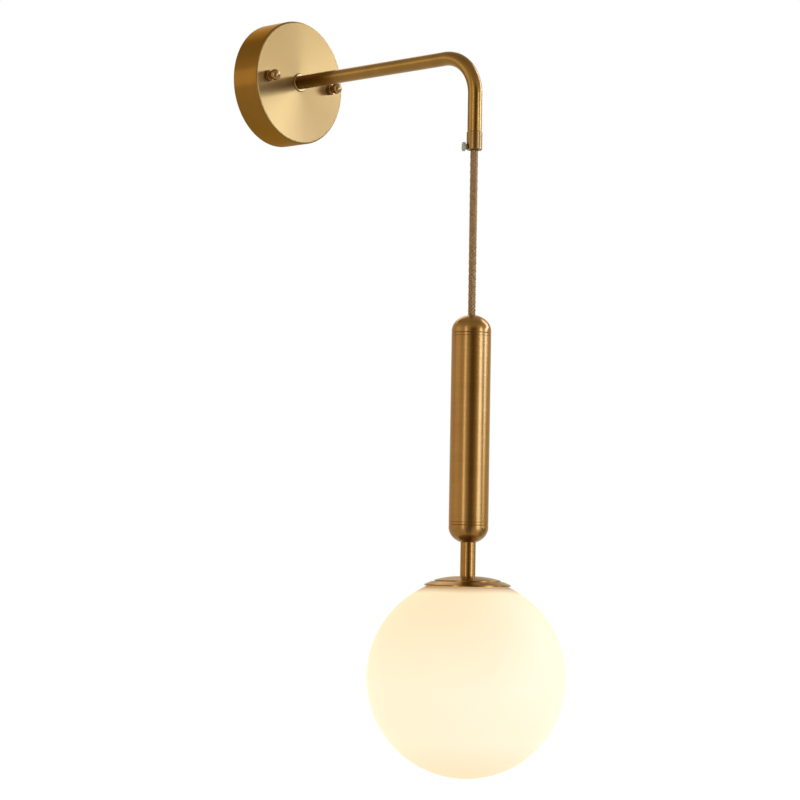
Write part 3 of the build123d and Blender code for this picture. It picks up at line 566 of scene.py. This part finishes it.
@dataclass(frozen=True)
class OpalGlass(Finish):
    """Blown opal glass lit by its bulb: an even warm glow that fades a little where the gallery shades it.

    The last four values are the shares of the globe's diameter, from its bottom, where the glow changes.
    """

    name: str = "blown_opal_glass"
    tone: str = "#87827A"
    glow: str = "#FFF3D0"
    dim_glow: str = "#FBE2B4"
    shaded_glow: str = "#A87B44"
    strength: float = 0.9
    roughness: float = 0.55
    gloss: float = 0.35
    swirl_mm: float = 60.0
    swirl_drift: float = 0.04
    full_from: float = 0.2
    full_to: float = 0.45
    dim_at: float = 0.92
    shaded_at: float = 0.955

    def surface(self, tree: Tree) -> Socket:
        """Draws the lit glass, with its glow shaded by height.

        Args:
            tree: The material's node tree.

        Returns:
            The glass's shader.
        """
        place = add_node(tree, "ShaderNodeTexCoord").outputs["Object"]
        height = add_node(tree, "ShaderNodeSeparateXYZ", {0: place}).outputs["Z"]
        low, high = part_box("globe")
        diameter = high[0] - low[0]
        mean_drift = self.swirl_drift / 2
        level = add_node(tree, "ShaderNodeMapRange", {
            "Value": height,
            "From Min": low[2],
            "From Max": low[2] + diameter,
            "To Min": -mean_drift,
            "To Max": 1.0 - mean_drift,
        })
        swirl = add_node(
            tree, "ShaderNodeTexNoise", {"Vector": place, "Scale": 1 / (self.swirl_mm * MM), "Detail": 1.0}
        )
        drift = add_node(
            tree,
            "ShaderNodeMath",
            {0: swirl.outputs["Fac"], 1: self.swirl_drift, 2: level.outputs[0]},
            operation="MULTIPLY_ADD",
        )
        ramp = add_node(tree, "ShaderNodeValToRGB", {"Fac": drift.outputs[0]})
        bottom, top = ramp.color_ramp.elements
        bottom.color = linear(self.dim_glow)
        top.color = linear(self.shaded_glow)
        stops = (
            (self.full_from, self.glow),
            (self.full_to, self.glow),
            (self.dim_at, self.dim_glow),
            (self.shaded_at, self.shaded_glow),
        )
        for position, glow in stops:
            ramp.color_ramp.elements.new(position).color = linear(glow)
        glass = add_node(tree, "ShaderNodeBsdfPrincipled", {
            "Base Color": linear(self.tone),
            "Roughness": self.roughness,
            "Specular IOR Level": self.gloss,
            "Emission Color": ramp.outputs["Color"],
            "Emission Strength": self.strength,
        })
        return glass.outputs[0]


@dataclass(frozen=True)
class MouldedPlastic(Finish):
    """Moulded or extruded plastic: a fine grain softens its shine, with a faint cloud in the colour.

    Real mould grain is finer than grain_mm. It is drawn coarser here, so that it shows.
    A translucent plastic next to the lit glass can take a painted glow, for the globe's light that leaks out
    beside it.
    """

    tone: str
    pale_tone: str
    roughness: float = 0.45
    texture: Relief = Relief(
        limits=(0.3, 0.7), smoother_by=0.05, rougher_by=0.08, depth_mm=0.02, strength=0.25
    )
    grain_mm: float = 0.35
    cloud_mm: float = 9.0
    glow: str = WHITE
    glow_strength: float = 0.0

    def surface(self, tree: Tree) -> Socket:
        """Draws the plastic with its mould grain.

        Args:
            tree: The material's node tree.

        Returns:
            The plastic's shader.
        """
        place = add_node(tree, "ShaderNodeTexCoord").outputs["Object"]
        grain = add_node(
            tree, "ShaderNodeTexNoise", {"Vector": place, "Scale": 1 / (self.grain_mm * MM), "Detail": 2.0}
        )
        cloud = add_node(
            tree, "ShaderNodeTexNoise", {"Vector": place, "Scale": 1 / (self.cloud_mm * MM), "Detail": 2.0}
        )
        tint = add_node(
            tree,
            "ShaderNodeMix",
            {"Factor": cloud.outputs["Fac"], COLOUR_A: linear(self.tone), COLOUR_B: linear(self.pale_tone)},
            data_type="RGBA",
        )
        plastic = add_node(tree, "ShaderNodeBsdfPrincipled", {
            "Base Color": tint.outputs[COLOUR_RESULT],
            **self.texture.inputs(tree, grain.outputs["Fac"], self.roughness),
            "Emission Color": linear(self.glow),
            "Emission Strength": self.glow_strength,
        })
        return plastic.outputs[0]


@dataclass(frozen=True)
class StripedInsulation(Finish):
    """Extruded green insulation with the yellow stripe of an earth lead, drawn as slanted bands.

    The two angles slant the bands, in degrees. A wave texture of scale one repeats after wave_period.
    """

    name: str = "extruded_striped_insulation"
    tone: str = "#2F7A35"
    stripe: str = "#D9C22E"
    roughness: float = 0.42
    band_mm: float = 3.0
    band_tilt: float = 40.0
    band_turn: float = 25.0
    band_edge: Range = (0.6, 0.66)
    wave_period: float = 0.314

    def surface(self, tree: Tree) -> Socket:
        """Draws the insulation with its slanted stripe.

        Args:
            tree: The material's node tree.

        Returns:
            The insulation's shader.
        """
        place = add_node(tree, "ShaderNodeTexCoord").outputs["Object"]
        slant = (0.0, math.radians(self.band_tilt), math.radians(self.band_turn))
        turned = add_node(tree, "ShaderNodeMapping", {"Vector": place, "Rotation": slant})
        band = add_node(tree, "ShaderNodeTexWave", {
            "Vector": turned.outputs[0], "Scale": self.wave_period / (self.band_mm * MM),
        })
        tint = blend(tree, band.outputs["Fac"], self.band_edge, linear(self.tone), linear(self.stripe))
        jacket = add_node(
            tree, "ShaderNodeBsdfPrincipled", {"Base Color": tint, "Roughness": self.roughness}
        )
        return jacket.outputs[0]


@dataclass(frozen=True)
class PaintedFloor(Finish):
    """Pale matt paint on the studio's floor: white to the camera, and a warm glow in the metal.

    The glow has dark sides, and the paint under it still takes a shadow. The lamp's place is in
    millimetres, and the distances between which the glow's level changes are in metres.
    """

    name: str = "pale_painted_floor"
    paint: str = "#A9A9A8"
    mirrored_tone: str = SURROUND
    sheen: float = 0.84
    lamp: Place = (0.0, PENDANT_Y, 0.0)
    dark_ways: tuple[Place, Place] = ((-0.731, -0.682, 0.0), (0.788, -0.616, 0.0))
    near_m: float = 1.0
    far_m: float = 3.0
    near_level: float = 0.72
    far_level: float = 0.92

    def surface(self, tree: Tree) -> Socket:
        """Draws the paint, with a glow that only the camera and the metal see.

        Args:
            tree: The material's node tree.

        Returns:
            The floor's shader.
        """
        ray = add_node(tree, "ShaderNodeLightPath")
        seen = ray.outputs["Is Camera Ray"]
        place = add_node(tree, "ShaderNodeTexCoord").outputs["Object"]
        from_lamp = add_node(
            tree, "ShaderNodeVectorMath", {0: place, 1: Vector(self.lamp) * MM}, operation="SUBTRACT"
        )
        first, second = (darkness(tree, from_lamp.outputs[0], way) for way in self.dark_ways)
        dark = add_node(tree, "ShaderNodeMath", {0: first, 1: second}, operation="MAXIMUM")
        pale = add_node(
            tree, "ShaderNodeMapRange", {"Value": dark.outputs[0], "To Min": self.sheen, "To Max": 0.0}
        )
        mirrored = add_node(
            tree,
            "ShaderNodeMath",
            {0: ray.outputs["Is Glossy Ray"], 1: pale.outputs[0]},
            operation="MULTIPLY",
        )
        shown = add_node(tree, "ShaderNodeMath", {0: seen, 1: mirrored.outputs[0]}, operation="MAXIMUM")
        away = add_node(tree, "ShaderNodeVectorMath", {0: place}, operation="LENGTH")
        share = add_node(tree, "ShaderNodeMapRange", {
            "Value": away.outputs["Value"],
            "From Min": self.near_m,
            "From Max": self.far_m,
            "To Min": self.near_level,
            "To Max": self.far_level,
        })
        level = add_node(
            tree, "ShaderNodeMath", {0: shown.outputs[0], 1: share.outputs[0]}, operation="MULTIPLY"
        )
        tone = add_node(
            tree,
            "ShaderNodeMix",
            {"Factor": seen, COLOUR_A: linear(self.mirrored_tone), COLOUR_B: linear(WHITE)},
            data_type="RGBA",
        )
        paint = add_node(tree, "ShaderNodeBsdfDiffuse", {"Color": linear(self.paint)})
        glow = add_node(
            tree, "ShaderNodeEmission", {"Color": tone.outputs[COLOUR_RESULT], "Strength": level.outputs[0]}
        )
        both = add_node(tree, "ShaderNodeAddShader", {0: paint.outputs[0], 1: glow.outputs[0]})
        return both.outputs[0]


@dataclass(frozen=True)
class WallMount:
    """The cup on the wall, with the bracket, studs and wiring behind it."""

    cup_centre: Place = (0.0, 0.0, 0.0)

    def dress(self, plate: bpy.types.Material, white: bpy.types.Material) -> None:
        """Gives the cup its spun brass and the hidden pieces their plating and plastics.

        Args:
            plate: Zinc plating of the steel pieces.
            white: White plastic of the terminal block.
        """
        # The cup's face takes a paler painted tone, a painted highlight for the bright panel that it
        # mirrors.
        cup = BrushedBrass(
            "spun_brass_cup", LatheAxis.ROOM, self.cup_centre,
            tone="#8A6224", pale_tone="#936C2F", painted_face_shading="#987A4A", edge_tone="#E8CFA8",
            roughness=0.31, anisotropy=0.88, coat=0.05,
        )
        dress_nodes(["wall_cup"], cup.material())
        nuts = PolishedBrass(
            "turned_brass_nuts", tone="#B5905C", stain="#977343", roughness=0.28, coat=0.4, stain_mm=6.0
        )
        dress_nodes(["cap_nuts"], nuts.material())
        steel_pieces = [
            "wall_bracket", "bracket_studs", "stud_lock_nuts", "arm_lock_washer", "arm_lock_nut",
            "block_screw", "earth_screw", "earth_eyelet", "terminal_screws",
        ]
        dress_nodes(steel_pieces, plate)
        dress_nodes(["terminal_block"], white)
        barrels = PolishedBrass("turned_brass_barrels", tone="#B8924E")
        dress_nodes(["terminal_barrels"], barrels.material())
        blue = MouldedPlastic("extruded_blue_insulation", "#2B4A8C", "#35589F")
        dress_nodes(["neutral_lead"], blue.material())
        brown = MouldedPlastic("extruded_brown_insulation", "#5A341C", "#6B4127")
        dress_nodes(["live_lead"], brown.material())
        dress_nodes(["earth_lead"], StripedInsulation().material())


@dataclass(frozen=True)
class Arm:
    """The bent tube, the ring at its foot, and the collar and screw that grip the cord."""

    collar_centre: Place = (0.0, PENDANT_Y, -67.1)

    def dress(self) -> None:
        """Gives the tube and its fittings their brass, nickel and nylon."""
        tube = PolishedBrass(
            "drawn_brass_arm", tone="#96702C", stain="#8B6623", roughness=0.27, coat=0.5, haze_mm=2.5
        )
        dress_nodes(["arm_tube"], tube.material())
        flange = PolishedBrass("turned_brass_flange", tone="#AD9060", stain="#9A7B4C")
        dress_nodes(["arm_flange"], flange.material())
        # The collar's underside takes a dark painted tone, a painted shade where it faces the floor.
        collar = BrushedBrass(
            "brushed_brass_collar", LatheAxis.UPRIGHT, self.collar_centre,
            tone="#8A6632", pale_tone="#967440", painted_face_shading="#4A3418",
            roughness=0.34, coat=0.3, grain_mm=0.8,
        )
        dress_nodes(["grip_collar"], collar.material())
        screw = PlatedMetal("nickel_plated_screw", "#C6C8C0", "#9A9B95", roughness=0.35, bloom_mm=0.9)
        dress_nodes(["grip_screw"], screw.material())
        bush = MouldedPlastic("moulded_nylon_bush", "#DAD8D0", "#E6E4DC")
        dress_nodes(["grip_bush"], bush.material())


@dataclass(frozen=True)
class HangingCord:
    """The textile cord: two sets of yarns braided round a cable, hanging straight under the globe's weight.

    Its sizes and heights are in millimetres. A yarn has no bevel steps, which gives it four sides.
    """

    axis_y: float = PENDANT_Y
    mouth_z: float = -74.2
    diameter: float = 5.8
    yarn_diameter: float = 1.4
    yarn_lift: float = 0.16
    yarn_bevel_steps: int = 0
    yarns_each_way: int = 6
    lay_length: float = 18.0
    steps_per_crossing: int = 3
    core_sides: int = 20
    route_heights: tuple[float, ...] = (-73.7, -97.0, -122.0, -155.0, -188.0, -214.0)
    route_order: int = 3
    route_steps: int = 24

    @property
    def braid_radius(self) -> float:
        """The radius of the circle that the yarns' middles lie on, in metres."""
        return (self.diameter - self.yarn_diameter) / 2 * MM

    def centreline(self) -> list[Vector]:
        """Reads the cord's centreline from its NURBS route.

        Returns:
            Points along the route, in metres, from the collar down.
        """
        curve = bpy.data.curves.new("cord_route", "CURVE")
        curve.dimensions = "3D"
        curve.resolution_u = self.route_steps
        spline = curve.splines.new("NURBS")
        spline.points.add(len(self.route_heights) - 1)
        for point, height in zip(spline.points, self.route_heights):
            point.co = (0.0, self.axis_y * MM, height * MM, 1.0)
        spline.order_u = self.route_order
        spline.use_endpoint_u = True
        mesh = mesh_from_curve(curve)
        points = [vertex.co.copy() for vertex in mesh.vertices]
        bpy.data.meshes.remove(mesh)
        return points

    @staticmethod
    def point_at(line: list[Vector], height: float) -> Vector:
        """Finds the centreline's point at a height.

        Args:
            line: The centreline, from the top down.
            height: Height of the point, in metres.

        Returns:
            The point on the centreline.
        """
        for upper, lower in zip(line, line[1:]):
            if lower.z <= height:
                return upper.lerp(lower, (upper.z - height) / (upper.z - lower.z))
        return line[-1]

    def braid(self, line: list[Vector]) -> bpy.types.Mesh:
        """Winds half of the yarns each way round the centreline, over and under one another.

        Args:
            line: The centreline, from the top down.

        Returns:
            The yarns' mesh, with the second set in its second material slot.
        """
        top, bottom = line[0].z, line[-1].z
        lay = self.lay_length * MM
        yarn_radius = self.yarn_diameter / 2 * MM
        crossings = 2 * self.yarns_each_way * (top - bottom) / lay
        steps = int(crossings * self.steps_per_crossing)
        curve = bpy.data.curves.new("cord_braid", "CURVE")
        curve.dimensions = "3D"
        curve.bevel_depth = yarn_radius
        curve.bevel_resolution = self.yarn_bevel_steps
        curve.use_fill_caps = True
        for way in (1, -1):
            for yarn in range(self.yarns_each_way):
                spline = curve.splines.new("POLY")
                spline.points.add(steps)
                spline.material_index = 1 if way < 0 else 0
                for step, point in enumerate(spline.points):
                    height = top - yarn_radius - (top - bottom - 2 * yarn_radius) * step / steps
                    turn = way * math.tau * (top - height) / lay + math.tau * yarn / self.yarns_each_way
                    lift = way * self.yarn_lift * MM * math.cos(math.pi * crossings * step / steps)
                    spoke = Vector((math.cos(turn), math.sin(turn), 0.0)) * (self.braid_radius + lift)
                    point.co = (*(self.point_at(line, height) + spoke), 1.0)
        return mesh_from_curve(curve)

    def add_core(self, mesh: bpy.types.Mesh, line: list[Vector]) -> None:
        """Adds the cable under the braid to the same mesh.

        Args:
            mesh: The braid's mesh.
            line: The centreline that the core follows.
        """
        shape = bmesh.new()
        shape.from_mesh(mesh)
        ring = bmesh.ops.create_circle(
            shape,
            segments=self.core_sides,
            radius=self.braid_radius,
            cap_ends=True,
            matrix=Matrix.Translation(line[0]),
        )
        face = ring["verts"][0].link_faces[0]
        for upper, lower in zip(line, line[1:]):
            grown = bmesh.ops.extrude_face_region(shape, geom=[face], use_keep_orig=upper is line[0])
            face = next(part for part in grown["geom"] if isinstance(part, bmesh.types.BMFace))
            bmesh.ops.translate(shape, verts=list(face.verts), vec=lower - upper)
        shape.to_mesh(mesh)
        shape.free()

    def build(self) -> bpy.types.Object:
        """Braids the cord along its centreline, over a plain core.

        Returns:
            The cord's object, riding on the cord's body.
        """
        line = self.centreline()
        mesh = self.braid(line)
        cord = bpy.data.objects.new("braided_cord", mesh)
        bpy.context.collection.objects.link(cord)
        self.add_core(mesh, line)
        for face in mesh.polygons:
            face.use_smooth = True
        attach(cord, "cord")
        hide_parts("cord", "cord_bend")
        return cord

    def dress(self, cord: bpy.types.Object) -> None:
        """Gives the braid, and the length of cord inside the arm, their yarn.

        Args:
            cord: The braided cord.
        """
        yarn = BraidedYarn("braided_rayon", "#A67639", "#D8A664").material()
        pale_yarn = BraidedYarn("braided_pale_rayon", "#E2B276", "#FFE4B4").material()
        cord.data.materials.append(yarn)
        cord.data.materials.append(pale_yarn)
        dress_nodes(["arm_cable"], yarn)


@dataclass(frozen=True)
class Pendant:
    """The capsule, stem, gallery, globe and lampholder that hang from the cord."""

    capsule_centre: Place = (0.0, PENDANT_Y, -286.5)
    gallery_centre: Place = (0.0, PENDANT_Y, -400.0)

    def dress_outside(self) -> None:
        """Gives the pieces that show their brass and glass."""
        capsule = BrushedBrass(
            "brushed_brass_capsule", LatheAxis.UPRIGHT, self.capsule_centre, edge_tone="#E0C49A",
            roughness=0.3, anisotropy=0.68, coat=0.85, grain_mm=1.4,
        )
        dress_nodes(["capsule_top_cap", "capsule_tube", "capsule_bottom_cap"], capsule.material())
        stem = replace(capsule, name="brushed_brass_stem", roughness=0.28, coat=0.65)
        dress_nodes(["stem"], stem.material())
        # The gallery's faces square to the axis take a painted tone close to its brass, darker than the
        # cup's painted face.
        gallery = BrushedBrass(
            "spun_brass_gallery", LatheAxis.UPRIGHT, self.gallery_centre, painted_face_shading="#8F6C38", coat=0.15
        )
        dress_nodes(["gallery_cover", "gallery_plate"], gallery.material())
        dress_nodes(["globe"], OpalGlass().material())

    def dress_inside(self, plate: bpy.types.Material, white: bpy.types.Material) -> None:
        """Gives the globe's fittings, the lampholder, the bulb and the leads their materials.

        Args:
            plate: Zinc plating of the steel pieces.
            white: White plastic of the bulb's neck.
        """
        # The gasket's amber glow is painted light: the globe's light leaking out under the gallery's rim.
        gasket = MouldedPlastic(
            "moulded_silicone_gasket", "#DEDAD0", "#E9E6DE", roughness=0.6, glow="#F0B45A", glow_strength=0.5
        )
        dress_nodes(["globe_gasket"], gasket.material())
        clip = PlatedMetal("rolled_spring_steel", "#A9A8A5", "#8D8C8A", roughness=0.3)
        dress_nodes(["globe_clip"], clip.material())
        dress_nodes(["cord_ferrule", "stem_lock_nut"], plate)
        black = MouldedPlastic("moulded_black_phenolic", "#161514", "#211F1D")
        dress_nodes(["holder_cap", "holder_skirt", "holder_core", "bulb_insulator"], black.material())
        contacts = PolishedBrass("stamped_brass_contacts", tone="#B8924E")
        dress_nodes(["screw_shell", "middle_contact"], contacts.material())
        cap = PlatedMetal("nickel_plated_bulb_cap", "#CFCCC4", "#AFACA4", roughness=0.28)
        dress_nodes(["bulb_cap", "bulb_tip"], cap.material())
        dress_nodes(["bulb_neck"], white)
        diffuser = MouldedPlastic("blown_frosted_diffuser", "#F1EEE6", "#F8F5EE", roughness=0.5)
        dress_nodes(["bulb_diffuser"], diffuser.material())
        leads = MouldedPlastic("extruded_pale_insulation", "#D8D4C8", "#E4E0D6")
        dress_nodes(["lamp_leads"], leads.material())


@dataclass(frozen=True)
class Softbox:
    """One soft light, placed by its direction from the lamp and rolled about that direction.

    Angles are in degrees and sizes in metres. A bearing of zero is straight out from the wall.
    """

    name: str
    bearing: float
    rise: float
    width: float
    height: float
    radiance: float
    distance: float = 2.2
    roll: float = 0.0
    tone: str = "#DDE9FF"

    def hang(self, target: Vector) -> None:
        """Hangs the light, facing a target, with the power that gives its stated radiance.

        Args:
            target: The point that the light faces, in metres.
        """
        light = bpy.data.lights.new(self.name, "AREA")
        light.shape = "RECTANGLE"
        light.size = self.width
        light.size_y = self.height
        light.energy = self.radiance * math.pi * self.width * self.height
        light.color = linear(self.tone)[:3]
        bearing = math.radians(self.bearing)
        rise = math.radians(self.rise)
        away = Vector((
            math.sin(bearing) * math.cos(rise),
            -math.cos(bearing) * math.cos(rise),
            math.sin(rise),
        ))
        holder = bpy.data.objects.new(self.name, light)
        holder.location = target + away * self.distance
        roll = Quaternion((0.0, 0.0, 1.0), math.radians(self.roll))
        holder.rotation_euler = ((-away).to_track_quat("-Z", "Y") @ roll).to_euler()
        holder.visible_camera = False
        bpy.context.collection.objects.link(holder)


@dataclass(frozen=True)
class Studio:
    """A pale floor, a white backdrop, soft lights round the lamp and the camera.

    Places, the lens and its sensor are in millimetres, angles in degrees and the floor's width in
    metres. A rise is the height of a direction of length one.
    """

    floor_z: float = -950.0
    floor_width_m: float = 40.0
    camera_place: Place = (-1336.55, -1339.28, -370.48)
    camera_yaw: float = -48.136
    camera_pitch: float = 3.4375
    camera_roll: float = 0.9938
    lens: float = 104.21
    sensor_width: float = 36.0
    aim: Place = (0.0, -150.0, -250.0)
    fill: str = "#A8A7A4"
    surround: str = SURROUND
    overhead: str = "#B4AA98"
    overhead_rise: Range = (0.25, 0.9)
    dark_side: str = "#5E472C"
    dark_way: Place = (-0.574, -0.819, 0.0)
    dark_rise: Range = (0.3, 0.6)
    lights: tuple[Softbox, ...] = (
        Softbox("key_softbox", bearing=9.5, rise=-19.0, width=0.96, height=2.0, radiance=3.7,
                tone="#C0D8FF"),
        Softbox("upper_softbox", bearing=9.0, rise=11.0, width=0.45, height=0.7, radiance=6.5,
                tone="#C8DDFF"),
        Softbox("slanted_panel", bearing=55.0, rise=16.0, width=1.9, height=0.4, radiance=9.6,
                roll=31.0, tone="#BCD4FF"),
        Softbox("side_softbox", bearing=74.0, rise=40.0, width=0.8, height=0.8, radiance=4.6),
        Softbox("left_strip", bearing=-80.0, rise=4.0, width=0.38, height=2.0, radiance=2.6),
        Softbox("rear_strip", bearing=-130.0, rise=14.0, width=1.3, height=0.8, radiance=0.64,
                tone="#F6F1EA"),
        Softbox("back_softbox", bearing=148.0, rise=38.0, width=1.4, height=0.9, radiance=1.2,
                tone="#FFF3E0"),
    )

    def build_floor(self) -> None:
        """Lays the pale floor, which is white to the camera and still takes a shadow."""
        mesh = bpy.data.meshes.new("floor")
        shape = bmesh.new()
        bmesh.ops.create_grid(
            shape,
            x_segments=1,
            y_segments=1,
            size=self.floor_width_m / 2,
            matrix=Matrix.Translation((0.0, 0.0, self.floor_z * MM)),
        )
        shape.to_mesh(mesh)
        shape.free()
        floor = bpy.data.objects.new("floor", mesh)
        bpy.context.collection.objects.link(floor)
        mesh.materials.append(PaintedFloor().material())

    def mirrored_room(self, tree: Tree) -> Socket:
        """Draws the room that the metal mirrors: pale, duller overhead, and dark on the camera's side.

        Args:
            tree: The world's node tree.

        Returns:
            The room's colour.
        """
        way = add_node(tree, "ShaderNodeTexCoord").outputs["Generated"]
        rise = add_node(tree, "ShaderNodeSeparateXYZ", {0: way}).outputs["Z"]
        start, full = self.overhead_rise
        high = add_node(
            tree,
            "ShaderNodeMapRange",
            {"Value": rise, "From Min": start, "From Max": full},
            interpolation_type="SMOOTHSTEP",
        )
        pale = add_node(
            tree,
            "ShaderNodeMix",
            {"Factor": high.outputs[0], COLOUR_A: linear(self.surround), COLOUR_B: linear(self.overhead)},
            data_type="RGBA",
        )
        full, end = self.dark_rise
        low = add_node(
            tree,
            "ShaderNodeMapRange",
            {"Value": rise, "From Min": full, "From Max": end, "To Min": 1.0, "To Max": 0.0},
            interpolation_type="SMOOTHSTEP",
        )
        dark = add_node(
            tree,
            "ShaderNodeMath",
            {0: darkness(tree, way, self.dark_way), 1: low.outputs[0]},
            operation="MULTIPLY",
        )
        room = add_node(
            tree,
            "ShaderNodeMix",
            {
                "Factor": dark.outputs[0],
                COLOUR_A: pale.outputs[COLOUR_RESULT],
                COLOUR_B: linear(self.dark_side),
            },
            data_type="RGBA",
        )
        return room.outputs[COLOUR_RESULT]

    def build_world(self) -> None:
        """Lights the room: a white backdrop for the camera, the mirrored room, and an even fill."""
        world = bpy.data.worlds.new("studio")
        world.use_nodes = True
        tree = world.node_tree
        tree.nodes.clear()
        ray = add_node(tree, "ShaderNodeLightPath")
        lit = add_node(
            tree,
            "ShaderNodeMix",
            {
                "Factor": ray.outputs["Is Glossy Ray"],
                COLOUR_A: linear(self.fill),
                COLOUR_B: self.mirrored_room(tree),
            },
            data_type="RGBA",
        )
        seen = add_node(
            tree,
            "ShaderNodeMix",
            {
                "Factor": ray.outputs["Is Camera Ray"],
                COLOUR_A: lit.outputs[COLOUR_RESULT],
                COLOUR_B: linear(WHITE),
            },
            data_type="RGBA",
        )
        sky = add_node(tree, "ShaderNodeBackground", {"Color": seen.outputs[COLOUR_RESULT], "Strength": 1.0})
        add_node(tree, "ShaderNodeOutputWorld", {"Surface": sky.outputs[0]})
        bpy.context.scene.world = world

    def build_camera(self) -> None:
        """Sets the camera where the photograph was taken from."""
        turns = (self.camera_yaw, self.camera_pitch, self.camera_roll)
        yaw, pitch, roll = (math.radians(turn) for turn in turns)
        forward = Vector((
            -math.sin(yaw) * math.cos(pitch),
            math.cos(yaw) * math.cos(pitch),
            math.sin(pitch),
        ))
        right = Vector((math.cos(yaw), math.sin(yaw), 0.0))
        up = right.cross(forward)
        tilted_right = right * math.cos(roll) + up * math.sin(roll)
        tilted_up = up * math.cos(roll) - right * math.sin(roll)
        lens = bpy.data.cameras.new("camera")
        lens.sensor_width = self.sensor_width
        lens.lens = self.lens
        camera = bpy.data.objects.new("camera", lens)
        turn = Matrix((tilted_right, tilted_up, -forward)).transposed()
        camera.matrix_world = Matrix.Translation(Vector(self.camera_place) * MM) @ turn.to_4x4()
        bpy.context.collection.objects.link(camera)
        bpy.context.scene.camera = camera

    def build(self) -> None:
        """Sets up the whole studio."""
        bpy.context.scene.view_settings.view_transform = "Standard"
        self.build_floor()
        self.build_world()
        for light in self.lights:
            light.hang(Vector(self.aim) * MM)
        self.build_camera()


def main() -> None:
    """Builds the studio, then dresses the sconce from the wall to the globe."""
    logging.basicConfig(level=logging.INFO, format="%(name)s: %(message)s")
    Studio().build()
    plate = PlatedMetal("zinc_plated_steel", "#B7B9BB", "#93969A", roughness=0.34).material()
    white = MouldedPlastic("moulded_white_plastic", "#E4E2DC", "#EFEDE8").material()
    WallMount().dress(plate, white)
    Arm().dress()
    cord = HangingCord()
    cord.dress(cord.build())
    pendant = Pendant()
    pendant.dress_outside()
    pendant.dress_inside(plate, white)


if __name__ == "__main__":
    main()
